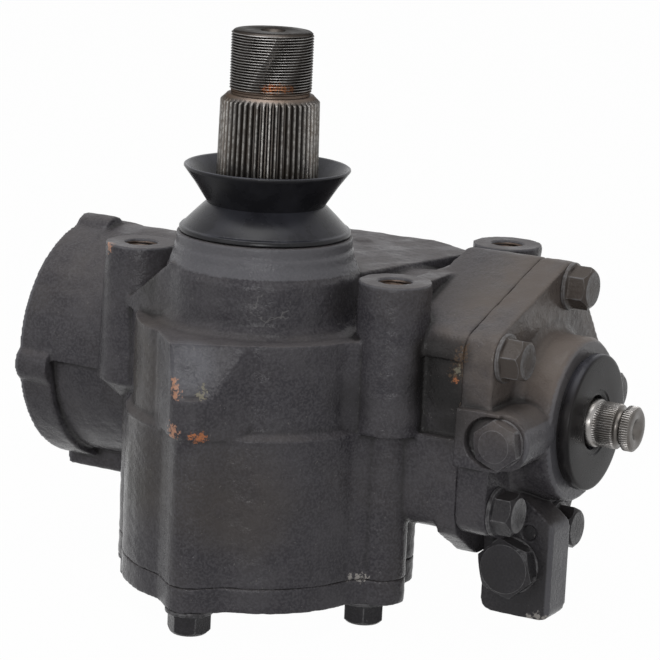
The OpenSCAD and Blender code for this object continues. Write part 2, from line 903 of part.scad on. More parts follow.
module adjuster_retainer() {
    top = trunnion_end + adjuster_pocket - gap - adjuster_head_h - run_fit;
    color(steel)
        z_ring(adjuster_head_r - run_fit / 2, adjuster_r + 1.5, trunnion_end, top);
}

// Rubber boot that grips the output shaft and wipes on the boss
module dust_boot() {
    foot = boss_top + gap;
    wall = 3;
    color(black_rubber)
        translate([0, sector_y, 0])
            rotate_extrude()
                polygon([
                    [boot_base_r, foot], [boot_base_r, foot + 2], [boot_base_r - 1.2, foot + 3],
                    [boot_waist_r, boot_waist], [boot_lip_r, boot_lip - 1.8], [boot_lip_r, boot_lip],
                    [boot_lip_r - 1, boot_lip + 0.8], [boot_lip_r - 2.4, boot_lip],
                    [journal_r + 1, boot_waist + wall], [journal_r + run_fit, boot_waist + wall - 1],
                    [journal_r + run_fit, boot_waist - wall], [boot_base_r - 2 * wall, foot]
                ]);
}

// Piston with the rack on the sector's side and the ball nut inside
module rack_piston() {
    ring_x = piston_left + 9;
    color(steel)
        difference() {
            x_bar(piston_r, piston_left, piston_right);
            translate([-rack_half_len, rack_tip_y - clear_all / 2, axis_z - clear_all / 4])
                cube([2 * rack_half_len, clear_all / 2, clear_all / 2]);
            translate([0, 0, axis_z - bore_r])
                linear_extrude(2 * bore_r)
                    for (i = [-floor(sector_teeth / 2):floor(sector_teeth / 2)])
                        translate([i * tooth_pitch, 0]) rack_space();
            x_bar(nut_bore_r, piston_left + piston_wall, piston_right + joined);
            nut_groove();
            x_ring(piston_r + joined, ring_groove_r, ring_x, ring_x + ring_w);
            guide_pocket(0);
        }
}

// Space between two rack teeth
module rack_space() {
    y_mid = sector_y + pitch_r;
    half = tooth_pitch / 4 + backlash;
    lean = tan(pressure_angle);
    polygon([
        [half + lean * (y_mid - rack_tip_y + joined), rack_tip_y - joined],
        [half - lean * (rack_root_y - y_mid), rack_root_y],
        [-half + lean * (rack_root_y - y_mid), rack_root_y],
        [-half - lean * (y_mid - rack_tip_y + joined), rack_tip_y - joined]
    ]);
}

module nut_groove() {
    groove_bar(nut_section, circuit_mid - circuit_half, circuit_mid + circuit_half);
}

ring_groove_r = piston_r - 4;
ring_w = 5;
module piston_ring() {
    ring_x = piston_left + 9;
    color(dark_steel)
        x_ring(piston_r, ring_groove_r + run_fit, ring_x + run_fit, ring_x + ring_w - run_fit);
}

// Balls in the loaded turns of the circuit
module recirculating_balls() {
    color(bright_steel)
        for (i = [0:ball_n - 1]) {
            turn_at = ball_turns * ((i + 0.5) / ball_n - 0.5);
            translate([circuit_mid + worm_lead * turn_at, 0, axis_z])
                rotate([360 * turn_at, 0, 0])
                    translate([0, ball_circle, 0]) sphere(r = ball_r, $fn = 24);
        }
}

// Return guide on the far side of the piston, with its clamp
guide_w = 26;
guide_l = 44;
guide_floor = 25;
guide_h = 12;
module guide_pocket(clear) {
    translate([circuit_mid - guide_l / 2 + clear, guide_floor + clear, axis_z - guide_w / 2 + clear])
        cube([guide_l - 2 * clear, bore_r, guide_w - 2 * clear]);
}

module ball_return_guide() {
    tube_r = ball_r + 1;
    reach = guide_l / 2 - 2 * tube_r;
    y = guide_floor + tube_r + run_fit;
    color(steel)
        translate([circuit_mid, y, axis_z])
            for (z = [-tube_r - 0.4, tube_r + 0.4])
                translate([0, 0, z]) {
                    rotate([0, 90, 0]) cylinder(r = tube_r, h = 2 * reach, center = true);
                    for (side = [-1, 1])
                        translate([side * reach, 0, 0]) sphere(r = tube_r);
                }
}

module guide_clamp() {
    foot = guide_floor + 2 * (ball_r + 1) + 0.4;
    color(dark_steel)
        intersection() {
            translate([circuit_mid - guide_l / 2 + run_fit, foot, axis_z - guide_w / 2 + run_fit])
                cube([guide_l - 2 * run_fit, guide_h, guide_w - 2 * run_fit]);
            x_bar(piston_r - 1, piston_left, piston_right);
        }
}

// Worm with its ball groove, bearing seat and drive flange
module worm() {
    color(steel)
        difference() {
            union() {
                groove_bar(worm_section, worm_thread_start, worm_thread_end);
                x_bar(worm_core_r, worm_thread_start - worm_tip, worm_thread_end);
                x_bar(worm_collar_r, worm_thread_end - joined, spigot_start);
                x_bar(worm_neck_r, spigot_start - 2, bearing_end + joined);
                x_bar(worm_flange_r, bearing_end + run_fit, worm_end);
            }
            x_bar(worm_bore_r, torsion_start - 2, worm_end + joined);
            y_bar(pin_r + run_fit, -worm_r - 2 * joined, worm_r + 2 * joined, worm_pin_x, axis_z);
        }
}

module worm_pin() {
    color(dark_steel)
        y_bar(pin_r, -worm_r + 0.5, worm_r - 0.5, worm_pin_x, axis_z);
}

// Rotary valve sleeve on the worm, with its sealing rings
sleeve_ring_w = 3;
sleeve_ring_x = [for (i = [0:2]) worm_end + 4 + i * 9.5];
oil_hole_r = 2.2;
module valve_sleeve() {
    hole_n = 6;
    hole_x = (sleeve_ring_x[0] + sleeve_ring_w + sleeve_ring_x[1]) / 2;
    color(steel)
        difference() {
            x_bar(sleeve_r - 0.5, worm_end, sleeve_end);
            x_bar(spool_r + run_fit, worm_end - joined, sleeve_end + joined);
            for (x = sleeve_ring_x)
                x_ring(sleeve_r + joined, sleeve_r - 4, x, x + sleeve_ring_w);
            for (i = [0:hole_n - 1])
                translate([hole_x, 0, axis_z])
                    rotate([i * 360 / hole_n - 90, 0, 0])
                        cylinder(r = oil_hole_r, h = sleeve_r + joined);
        }
}

module sleeve_rings() {
    color(black_rubber)
        for (x = sleeve_ring_x)
            x_ring(sleeve_r - run_fit, sleeve_r - 4 + run_fit, x + run_fit, x + sleeve_ring_w - run_fit);
}

// Input shaft with its valve slots and serrated end
input_collar = 6;
input_groove = 3.4;
input_chamfer = 1.2;
input_tooth = 0.9;
input_centre_r = 2.6;
slot_n = 6;
slot_w = 4.4;
slot_len = 18;
module input_serration(x0, x1) {
    x_prism(x0, x1) serration_outline(input_r, input_tooth, input_serration_n);
}

module input_shaft() {
    serration_start = dust_cover_face + 2;
    groove_start = input_end - input_collar - input_groove;
    color(bright_steel)
        difference() {
            union() {
                x_bar(spool_r, spool_start, sleeve_end - 1);
                x_bar(input_journal_r, sleeve_end - 1 - joined, serration_start);
                input_serration(serration_start - joined, groove_start);
                x_bar(input_r - 2 * input_chamfer, serration_start - joined, input_end - joined);
                input_serration(input_end - input_collar, input_end - input_chamfer);
                translate([input_end - input_chamfer, 0, axis_z]) rotate([0, 90, 0])
                    cylinder(r1 = input_r - 0.6, r2 = input_r - 0.6 - input_chamfer, h = input_chamfer);
            }
            x_bar(worm_bore_r, spool_start - joined, torsion_end + 2);
            for (i = [0:slot_n - 1])
                translate([worm_end + 6, 0, axis_z]) rotate([(i + 0.5) * 360 / slot_n, 0, 0])
                    translate([0, spool_r - 2, -slot_w / 2]) cube([slot_len, 4, slot_w]);
            y_bar(pin_r + run_fit, -input_journal_r - joined, input_journal_r + joined, input_pin_x, axis_z);
            x_bar(input_centre_r, input_end - 12, input_end + joined);
            translate([input_end - 3.2, 0, axis_z]) rotate([0, 90, 0])
                cylinder(r1 = input_centre_r, r2 = input_centre_r + 3.6, h = 3.8);
        }
}

module torsion_bar() {
    color(steel)
        difference() {
            union() {
                x_bar(torsion_r, torsion_start, torsion_end);
                x_bar(worm_bore_r - run_fit, torsion_start, torsion_start + 16);
                x_bar(worm_bore_r - run_fit, torsion_end - 12, torsion_end);
            }
            y_bar(pin_r + run_fit, -worm_bore_r - joined, worm_bore_r + joined, worm_pin_x, axis_z);
            y_bar(pin_r + 1.2, -worm_bore_r - joined, worm_bore_r + joined, input_pin_x, axis_z);
        }
}

module torsion_bar_pin() {
    color(dark_steel)
        y_bar(pin_r, -input_journal_r + 0.5, input_journal_r - 0.5, input_pin_x, axis_z);
}

module worm_bearing() {
    color(steel)
        x_ring(worm_bearing_r - run_fit, worm_neck_r + run_fit, bearing_start, bearing_end);
}

module bearing_adjuster() {
    color(dark_steel)
        difference() {
            x_ring(worm_bearing_r + 2 - run_fit, worm_neck_r + 3, spigot_start, bearing_start);
            for (i = [0:3])
                translate([spigot_start - joined, 0, axis_z]) rotate([i * 90, 0, 0])
                    translate([0, worm_bearing_r - 5, 0]) rotate([0, 90, 0])
                        cylinder(r = 2.5, h = adjuster_w / 2 + joined);
        }
}

// Valve housing with its flange, boss, ports and lower block
pad_rise = 4.5;
pocket_r = port_plug_af / 2 + 1.8;
pocket_shift = 6;
module port_boss() {
    y_bar(port_boss_r, -port_reach, 0, port_x, axis_z);
    translate([seam, -port_reach - pad_rise, axis_z - port_boss_r])
        cube([port_x - seam, port_reach, 2 * port_boss_r]);
}

// Pocket in the port's pad that the plug sits in
module port_pocket() {
    for (x = [port_x - pocket_shift, port_x])
        y_bar(pocket_r, -port_reach - pad_rise - joined, -port_reach, x, axis_z);
    translate([port_x - pocket_shift, -port_reach - pad_rise - joined, axis_z - pocket_r])
        cube([pocket_shift + pocket_r, pad_rise + joined, 2 * pocket_r]);
}

module lower_block() {
    round_r = 6;
    outline = [
        [block_x0 + round_r, block_z0 + round_r], [block_x1 - round_r, block_z0 + round_r],
        [block_x1 - round_r, relief_z + 22], [flange_face - round_r, block_z1],
        [block_x0 + round_r, block_z1]
    ];
    translate([0, block_y1, 0])
        rotate([90, 0, 0])
            linear_extrude(block_y1 - block_y0)
                polygon(rounded_outline(outline, round_r));
}

module valve_housing() {
    fillet = 6;
    color(cast_paint)
        difference() {
            union() {
                x_bar(bore_r - run_fit, spigot_start, seam + joined);
                x_prism(seam, flange_face) polygon(rounded_outline(flange_bolt_points, lobe_r));
                translate([0, 0, axis_z])
                    rotate([0, 90, 0])
                        rotate_extrude()
                            polygon([
                                [0, flange_face - joined], [valve_boss_r + fillet, flange_face - joined],
                                [valve_boss_r + fillet, flange_face],
                                [valve_boss_r + fillet / 3, flange_face + fillet / 3],
                                [valve_boss_r, flange_face + fillet], [valve_boss_r, valve_boss_face - 3],
                                [valve_boss_r - 2, valve_boss_face], [0, valve_boss_face]
                            ]);
                port_boss();
                lower_block();
            }
            x_bar(worm_bearing_r + 2, spigot_start - joined, bearing_start);
            x_bar(worm_bearing_r, bearing_start - joined, bearing_end + gap);
            x_bar(sleeve_r, bearing_end, sleeve_end + 1);
            x_bar(input_bearing_r, sleeve_end, input_bearing_end + 0.2);
            x_bar(input_seal_r, input_bearing_end, valve_boss_face + joined);
            x_bar(dust_cover_r + 2, valve_boss_face, dust_cover_face);
            x_bar(input_seal_r + retainer_h, retainer_x, retainer_x + retainer_w);
            x_ring(bore_r + joined, bore_r - seam_seal_h, seam_seal_x, seam_seal_x + seam_seal_w);
            at_flange_bolts(seam - joined) cylinder(r = bolt_r + run_fit, h = flange_w + 2 * joined);
            port_pocket();
            y_bar(port_bore_r + run_fit, -port_reach - joined, joined - sleeve_r, port_x, axis_z);
            y_bar(relief_face_r, -clear_all / 2, block_y0, relief_x, relief_z);
            y_bar(relief_bore_r + run_fit, block_y0 - joined, block_y0 + relief_depth, relief_x, relief_z);
            y_bar(ball_plug_r + run_fit, block_y0 - joined, block_y0 + 6, ball_plug_x, ball_plug_z);
        }
}

seam_seal_x = seam - 12;
seam_seal_w = 4;
seam_seal_h = 3;
module valve_housing_seal() {
    color(black_rubber)
        x_ring(bore_r - run_fit, bore_r - seam_seal_h + run_fit,
               seam_seal_x + run_fit, seam_seal_x + seam_seal_w - run_fit);
}

module valve_housing_bolts() {
    color(dark_steel)
        at_flange_bolts(flange_face) flange_bolt(flange_w + flange_bolt_depth - 1);
}

module input_bearing() {
    color(steel)
        x_ring(input_bearing_r - run_fit, input_journal_r + run_fit, input_bearing_start, input_bearing_end);
}

module input_shaft_seal() {
    color(black_rubber)
        x_ring(input_seal_r - run_fit, input_journal_r + run_fit, input_seal_start, input_seal_end);
}

module seal_retaining_ring() {
    color(dark_steel)
        x_ring(input_seal_r + retainer_h - run_fit, input_journal_r + 4,
               retainer_x + run_fit, retainer_x + retainer_w - run_fit);
}

module input_dust_cover() {
    color(black_rubber)
        translate([0, 0, axis_z])
            rotate([0, 90, 0])
                rotate_extrude()
                    polygon([
                        [dust_cover_hole_r, dust_cover_back], [input_seal_r - run_fit, dust_cover_back],
                        [input_seal_r - run_fit, valve_boss_face], [dust_cover_r - 2, valve_boss_face],
                        [dust_cover_r - 2, valve_boss_face + 1.2], [dust_cover_r, valve_boss_face + 2],
                        [dust_cover_r, dust_cover_face - 0.8], [dust_cover_r - 0.8, dust_cover_face],
                        [dust_cover_hole_r + 0.6, dust_cover_face], [dust_cover_hole_r, dust_cover_face - 0.6]
                    ]);
}

// Hex plug with its head on a face at the origin, facing up
module hex_plug(af, head, r, length) {
    cylinder(r = af / 2 + 1.2, h = plug_washer_w);
    translate([0, 0, plug_washer_w - 0.01]) hex_head(af, head);
    translate([0, 0, -length]) cylinder(r = r, h = length + joined);
}

port_plug_len = 13;
module port_plug() {
    color(dark_steel)
        translate([port_x, -port_reach, axis_z]) rotate([90, 0, 0])
            hex_plug(port_plug_af, port_plug_head, port_bore_r, port_plug_len);
}

relief_thread = 5;
poppet_len = 4;
poppet_gap = 0.1;
spring_gap = 0.2;
spring_r = 5;
spring_wire = 0.5;
spring_coils = 3;
spring_steps = 16;
spring_sides = 8;
module relief_plug() {
    color(dark_steel)
        translate([relief_x, block_y0, relief_z]) rotate([90, 0, 0])
            hex_plug(relief_plug_af, relief_head, relief_bore_r, relief_thread);
}

// Round wire wound into a coil that rises along Z, as one solid
function coil_ring(turns, rise) = [
    for (k = [0:spring_sides - 1])
        let (
            a = 360 * turns,
            b = 360 * k / spring_sides,
            reach = spring_r + spring_wire * cos(b)
        )
        [reach * cos(a), reach * sin(a), rise * turns + spring_wire * sin(b)]
];
module coil(rise) {
    rings = spring_coils * spring_steps;
    last = rings * spring_sides;
    points = [for (i = [0:rings]) each coil_ring(i / spring_steps, rise)];
    walls = [
        for (i = [0:rings - 1])
            for (k = [0:spring_sides - 1])
                let (here = i * spring_sides, next = (k + 1) % spring_sides)
                [here + k, here + next, here + spring_sides + next, here + spring_sides + k]
    ];
    first_end = [for (k = [spring_sides - 1:-1:0]) k];
    last_end = [for (k = [0:spring_sides - 1]) last + k];
    polyhedron(points, concat(walls, [first_end, last_end]));
}

module relief_spring() {
    foot = block_y0 + relief_thread;
    top = block_y0 + relief_depth - poppet_gap - poppet_len - spring_gap;
    rise = (top - foot - 2 * spring_wire) / spring_coils;
    color(steel)
        translate([relief_x, top - spring_wire, relief_z]) rotate([90, 0, 0]) coil(rise);
}

module relief_poppet() {
    top = block_y0 + relief_depth - poppet_gap;
    color(steel)
        y_bar(relief_bore_r - 2, top - poppet_len, top, relief_x, relief_z);
}

ball_plug_x = relief_x + 9;
ball_plug_z = relief_z + 19.5;
module ball_plug() {
    color(dark_steel)
        y_bar(ball_plug_r, block_y0 + 1, block_y0 + 6, ball_plug_x, ball_plug_z);
}

housing();
cylinder_end_cover();
end_cover_seal();
end_cover_ring();
side_cover();
side_cover_seal();
side_cover_bolts();
sector_lower_bearing();
sector_adjuster_screw();
adjuster_lock_nut();
sector_upper_bearing();
sector_shaft_seal();
sector_seal_ring();
sector_shaft();
adjuster_retainer();
dust_boot();
rack_piston();
piston_ring();
recirculating_balls();
ball_return_guide();
guide_clamp();
worm();
valve_sleeve();
sleeve_rings();
worm_pin();
input_shaft();
torsion_bar();
torsion_bar_pin();
worm_bearing();
bearing_adjuster();
valve_housing();
valve_housing_seal();
valve_housing_bolts();
input_bearing();
input_shaft_seal();
seal_retaining_ring();
input_dust_cover();
port_plug();
relief_plug();
relief_spring();
relief_poppet();
ball_plug();
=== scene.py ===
import json
import math

import bmesh
import bpy
import numpy as np
from mathutils import Matrix, Vector


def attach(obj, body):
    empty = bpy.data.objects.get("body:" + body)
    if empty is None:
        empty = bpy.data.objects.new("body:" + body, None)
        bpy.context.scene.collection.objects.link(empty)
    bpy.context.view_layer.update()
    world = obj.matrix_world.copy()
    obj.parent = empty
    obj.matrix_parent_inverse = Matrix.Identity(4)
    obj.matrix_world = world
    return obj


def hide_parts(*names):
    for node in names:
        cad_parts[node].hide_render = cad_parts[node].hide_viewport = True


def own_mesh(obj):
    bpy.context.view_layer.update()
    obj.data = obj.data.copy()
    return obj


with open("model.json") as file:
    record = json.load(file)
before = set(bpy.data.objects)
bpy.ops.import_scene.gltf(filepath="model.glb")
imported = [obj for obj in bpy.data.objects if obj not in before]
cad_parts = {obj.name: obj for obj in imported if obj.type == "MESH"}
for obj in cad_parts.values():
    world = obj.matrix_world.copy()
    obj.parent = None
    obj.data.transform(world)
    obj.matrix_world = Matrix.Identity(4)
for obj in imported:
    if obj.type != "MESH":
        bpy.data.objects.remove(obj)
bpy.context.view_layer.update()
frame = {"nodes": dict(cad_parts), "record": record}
nodes = frame["nodes"]
MM = 0.001

# Main axes and stations of the gear, in millimetres
AXIS_Z = -78.0
SECTOR_Y = -72.0
COVER_BOTTOM = -180.0
FLANGE_FACE = 143.0
SEAM = 125.0
MOUNT_X = 81.0
MOUNT_Y = 70.0


# Mesh helpers
def add_piece(name, mesh, body, replaced=None):
    """Puts a mesh into the scene as a piece that rides on a body."""
    piece = bpy.data.objects.new(name, mesh)
    bpy.context.scene.collection.objects.link(piece)
    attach(piece, body)
    if replaced:
        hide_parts(replaced)
    return piece


def new_mesh(name, verts, faces, sharp_angle=35):
    """Mesh in metres from millimetre points, smooth up to an angle."""
    mesh = bpy.data.meshes.new(name)
    mesh.from_pydata([tuple(v) for v in np.asarray(verts) * MM], [], faces)
    mesh.validate()
    mesh.polygons.foreach_set("use_smooth", [True] * len(mesh.polygons))
    mesh.set_sharp_from_angle(angle=math.radians(sharp_angle))
    return mesh


def polar_skin(rows, count, place=None):
    """Closed skin whose rows are (height, radius) pairs round Z, and where it is placed."""
    angles = np.linspace(0, 2 * math.pi, count, endpoint=False)
    rings = []
    for height, radius in rows:
        r = np.broadcast_to(radius, count)
        h = np.broadcast_to(height, count)
        rings.append(np.column_stack((r * np.cos(angles), r * np.sin(angles), h)))
    verts = np.concatenate(rings)
    if place is not None:
        turn = np.array(place.to_3x3())
        verts = verts @ turn.T + np.array(place.to_translation())
    faces = [tuple(range(count - 1, -1, -1))]
    for i in range(len(rows) - 1):
        low = i * count
        high = low + count
        faces += [(low + j, low + (j + 1) % count, high + (j + 1) % count, high + j) for j in range(count)]
    last = (len(rows) - 1) * count
    faces.append(tuple(range(last, last + count)))
    return verts, faces


def joined(skins):
    """Points and faces of several skins as one."""
    verts, faces, start = [], [], 0
    for points, sides in skins:
        verts.append(points)
        faces += [tuple(k + start for k in side) for side in sides]
        start += len(points)
    return np.concatenate(verts), faces


def closed_lathe(profile, count, place):
    """Ring of revolution from a closed profile of (r, z) points."""
    verts, faces = polar_skin([(z, r) for r, z in profile], count, place)
    last = (len(profile) - 1) * count
    faces = faces[1:-1]
    faces += [(last + j, last + (j + 1) % count, (j + 1) % count, j) for j in range(count)]
    return verts, faces


def upright(x, y, z):
    return Matrix.Translation((x, y, z))


def along_x(x, y=0.0, z=AXIS_Z):
    return Matrix.Translation((x, y, z)) @ Matrix.Rotation(math.radians(90), 4, "Y")


def towards_front(x, y, z):
    return Matrix.Translation((x, y, z)) @ Matrix.Rotation(math.radians(90), 4, "X")


def downward(x, y, z):
    return Matrix.Translation((x, y, z)) @ Matrix.Rotation(math.radians(180), 4, "X")


def spun(place, degrees):
    return place @ Matrix.Rotation(math.radians(degrees), 4, "Z")


def hex_radius(af, count, softness=220):
    """Radius of a hexagon with slightly rounded corners at each angle."""
    angles = np.linspace(0, 2 * math.pi, count, endpoint=False)
    total = np.zeros(count)
    for k in range(6):
        reach = np.maximum(np.cos(angles - k * math.pi / 3), 0) / (af / 2)
        total += reach ** softness
    return total ** (-1 / softness)


# Castings: the solid's own shape with the soft edges of a casting
def neighbour_mean(co, edges, degree):
    mean = np.empty_like(co)
    for k in range(co.shape[1]):
        total = np.bincount(edges[:, 0], co[edges[:, 1], k], len(co))
        total += np.bincount(edges[:, 1], co[edges[:, 0], k], len(co))
        mean[:, k] = total / degree
    return mean


def unevenness(points, wavelength, seed):
    """Smooth random height between about -1 and 1 at each point, as left by sand moulding."""
    dice = np.random.default_rng(seed)
    height = np.zeros(len(points))
    waves = 10
    for _ in range(waves):
        heading = dice.normal(size=3)
        heading *= 2 * math.pi / (wavelength * dice.uniform(0.7, 1.6) * np.linalg.norm(heading))
        height += np.sin(points @ heading + dice.uniform(0, 2 * math.pi))
    return height / math.sqrt(waves)


HOLLOW_ROUNDS = 60
HOLLOW_DEPTH = 1.8


def casting(name, node, voxel, rounds, crisp, body):
    """Remeshed copy of a cast node, softened and uneven apart from where crisp(points) is 1."""
    rough = bpy.data.objects.new(name + "_rough", nodes[node].data.copy())
    bpy.context.scene.collection.objects.link(rough)
    remesh = rough.modifiers.new("remesh", "REMESH")
    remesh.mode = "VOXEL"
    remesh.voxel_size = voxel * MM
    remesh.use_smooth_shade = True
    graph = bpy.context.evaluated_depsgraph_get()
    mesh = bpy.data.meshes.new_from_object(rough.evaluated_get(graph))
    mesh.name = name
    bpy.data.objects.remove(rough)
    co = np.empty(len(mesh.vertices) * 3)
    mesh.vertices.foreach_get("co", co)
    co = co.reshape(-1, 3) / MM
    edges = np.empty(len(mesh.edges) * 2, np.int64)
    mesh.edges.foreach_get("vertices", edges)
    edges = edges.reshape(-1, 2)
    degree = np.maximum(np.bincount(edges.ravel(), minlength=len(co)), 1)
    machined = crisp(co)
    weight = 0.5 * (1 - 0.85 * machined)[:, None]
    start = co.copy()
    for _ in range(rounds):
        co = co + weight * (neighbour_mean(co, edges, degree) - co)
    mesh.vertices.foreach_set("co", (co * MM).ravel())
    mesh.update()
    normals = np.empty(len(co) * 3)
    mesh.vertices.foreach_get("normal", normals)
    normals = normals.reshape(-1, 3)
    bulge = np.einsum("ij,ij->i", start - co, normals)[:, None]
    for _ in range(2):
        bulge = neighbour_mean(bulge, edges, degree)
    # How deep each point lies in a hollow, kept for the painted shade in hollows
    wide = start
    for _ in range(HOLLOW_ROUNDS):
        wide = wide + 0.5 * (neighbour_mean(wide, edges, degree) - wide)
    hollow = np.einsum("ij,ij->i", wide - start, normals) / HOLLOW_DEPTH
    height = 0.16 * unevenness(co, 16, 5) + 0.07 * unevenness(co, 6, 8)
    co = co + normals * (height * (1 - machined))[:, None]
    mesh.vertices.foreach_set("co", (co * MM).ravel())
    for label, values in (("edge", np.clip(bulge, 0, 1)), ("hollow_shade", np.clip(hollow, 0, 1))):
        mesh.attributes.new(label, "FLOAT", "POINT").data.foreach_set("value", values.ravel())
    mesh.attributes.new("machined", "FLOAT", "POINT").data.foreach_set("value", machined)
    mesh.polygons.foreach_set("use_smooth", [True] * len(mesh.polygons))
    mesh.materials.clear()
    return add_piece(name, mesh, body, node)


def mark_edges(mesh):
    """Stores how sharply each point of a mesh stands out, for the wear and the painted highlight on its
    edges.
    """
    co = np.empty(len(mesh.vertices) * 3)
    mesh.vertices.foreach_get("co", co)
    co = co.reshape(-1, 3)
    normals = np.empty(len(co) * 3)
    mesh.vertices.foreach_get("normal", normals)
    normals = normals.reshape(-1, 3)
    edges = np.empty(len(mesh.edges) * 2, np.int64)
    mesh.edges.foreach_get("vertices", edges)
    a, b = edges.reshape(-1, 2).T
    across = co[b] - co[a]
    across /= np.maximum(np.linalg.norm(across, axis=1), 1e-9)[:, None]
    fall = np.bincount(a, -np.einsum("ij,ij->i", across, normals[a]), len(co))
    fall += np.bincount(b, np.einsum("ij,ij->i", across, normals[b]), len(co))
    fall /= np.maximum(np.bincount(edges, minlength=len(co)), 1)
    sharp = np.clip(6 * (fall - 0.03), 0, 1)
    mesh.attributes.new("edge", "FLOAT", "POINT").data.foreach_set("value", sharp)


def no_crisp(points):
    return np.zeros(len(points))


def housing_crisp(points):
    """Machined places of the housing: post tops, the boss's band and the open left end."""
    reach = np.hypot(points[:, 0], points[:, 1] - SECTOR_Y)
    from_hole = np.hypot(np.abs(points[:, 0]) - MOUNT_X, np.abs(points[:, 1]) - MOUNT_Y)
    flat = (points[:, 2] > -1.2) & (from_hole < 22)
    boss = (points[:, 2] > -4.5) & (reach < 52)
    left = points[:, 0] < -160
    return (flat | boss | left).astype(float)


def valve_crisp(points):
    """Machined place of the valve housing: the boss's face."""
    return (points[:, 0] > 164.5).astype(float)


FINE = 1.0
housing = casting("housing_casting", "housing", FINE, 4, housing_crisp, "gear_housing")
valve = casting("valve_casting", "valve_housing", FINE, 4, valve_crisp, "gear_housing")
cover = casting("cover_casting", "side_cover", FINE, 3, no_crisp, "gear_housing")

# Output shaft: thread and serration on the solid's gear and journals
THREAD_R = 22.5
THREAD_PITCH = 1.5
THREAD_DEPTH = 0.95
THREAD_FOOT = 93.7
THREAD_TOP = 127.7
SERRATION_N = 48
SERRATION_FOOT = 39.0
SERRATION_TOP = 92.0
SHOULDER_R = 24.0


def cut_mesh(node, point, normal):
    """Copy of a node's mesh with everything on the normal's side of a plane removed."""
    mesh = nodes[node].data.copy()
    mesh.materials.clear()
    work = bmesh.new()
    work.from_mesh(mesh)
    everything = work.verts[:] + work.edges[:] + work.faces[:]
    place = Vector(point) * MM
    bmesh.ops.bisect_plane(work, geom=everything, plane_co=place, plane_no=normal, clear_outer=True)
    verts = np.array([v.co[:] for v in work.verts]) / MM
    work.verts.index_update()
    faces = [tuple(v.index for v in f.verts) for f in work.faces]
    work.free()
    return verts, faces


def thread_radius(z, angles):
    """Radius of the thread's surface at a height, round the shaft."""
    phase = (z / THREAD_PITCH - angles / (2 * math.pi)) % 1.0
    depth = np.clip(1.35 * np.abs(2 * phase - 1) - 0.15, 0, 1)
    return THREAD_R - THREAD_DEPTH * depth


def tooth_dip(angles, n, width):
    """How deep a serration's flank is at each angle, from 0 at a crest to 1 at a root."""
    phase = np.abs((angles * n / (2 * math.pi) + 0.5) % 1.0 - 0.5) * 2
    dip = np.clip((phase - width) / (1 - 2 * width), 0, 1)
    return dip * dip * (3 - 2 * dip)


def output_shaft():
    count = SERRATION_N * 10
    angles = np.linspace(0, 2 * math.pi, count, endpoint=False)
    rows = [(37.0, 30.0), (38.3, 30.0), (39.0, 29.4)]
    dip = 2.1 * tooth_dip(angles, SERRATION_N, 0.22)
    for z in np.concatenate((np.linspace(39.2, 88.4, 12), np.linspace(88.8, 92.4, 10))):
        share = (z - SERRATION_FOOT) / (SERRATION_TOP - SERRATION_FOOT)
        crest = 28.1 - share
        tip = SHOULDER_R + 0.2 + (SERRATION_TOP + 0.4 - z) * 1.05
        foot_fill = np.clip((42.5 - z) / 3.5, 0, 1)
        rows.append((z, np.minimum(crest - dip * (1 - 0.5 * foot_fill), tip)))
    rows += [(92.7, SHOULDER_R), (93.0, SHOULDER_R - 0.3), (93.3, 21.6), (94.2, 21.5)]
    turns = int((THREAD_TOP - THREAD_FOOT - 1.2) / THREAD_PITCH * 8)
    for z in np.linspace(94.4, THREAD_TOP - 0.7, turns):
        chamfer = THREAD_R - np.clip(z - (THREAD_TOP - 1.6), 0, 2)
        fade = np.clip((z - 94.3) / 1.5, 0, 1)
        start = THREAD_R - THREAD_DEPTH + (thread_radius(z, angles) - THREAD_R + THREAD_DEPTH) * fade
        rows.append((z, np.minimum(start, chamfer)))
    rows += [(THREAD_TOP - 0.3, 21.1), (THREAD_TOP, 20.6), (THREAD_TOP, 14.0), (THREAD_TOP - 0.05, 13.8)]
    rows += [(THREAD_TOP - 0.05, 7.4), (THREAD_TOP - 0.2, 7.0), (124.4, 3.6), (124.0, 3.4), (119.0, 3.4)]
    rows += [(118.0, 0.4)]
    upper = polar_skin(rows, count, upright(0, SECTOR_Y, 0))
    lower = cut_mesh("sector_shaft", (0, 0, 37.2), (0, 0, 1))
    verts, faces = joined([lower, upper])
    return new_mesh("output_shaft", verts, faces, 50)


shaft = add_piece("output_shaft", output_shaft(), "sector", "sector_shaft")

# Rubber boot round the output shaft
BOOT_PROFILE = [
    (41.2, 16.9), (46.2, 16.9), (47.2, 17.4), (47.2, 19.0), (46.4, 19.9), (45.6, 19.9), (45.1, 20.6),
    (40.0, 25.9), (34.2, 31.6), (32.6, 33.0), (33.2, 34.2), (39.5, 43.9), (44.9, 51.2), (45.8, 52.4),
    (45.7, 53.2), (44.9, 53.7), (43.8, 53.2), (38.0, 45.2), (31.6, 36.4), (30.3, 35.0), (30.05, 34.4),
    (30.05, 30.0), (30.8, 29.0)
]
boot_skin = closed_lathe(BOOT_PROFILE, 160, upright(0, SECTOR_Y, 0))
boot = add_piece("rubber_boot", new_mesh("rubber_boot", *boot_skin, 60), "sector", "dust_boot")

# Flange bolts
BOLT_AF = 21.0
BOLT_FLANGE_R = 13.5
COVER_BOLT_CIRCLE = 71.0
COVER_BOLT_SHANK = 41.8
COVER_BOLT_ANGLES = (-87.5, 2.5, 36.0, 92.5, 135.0, 182.5)
FLANGE_BOLT_N = 5
FLANGE_BOLT_CIRCLE = 72.5
FLANGE_BOLT_SHANK = 44.8


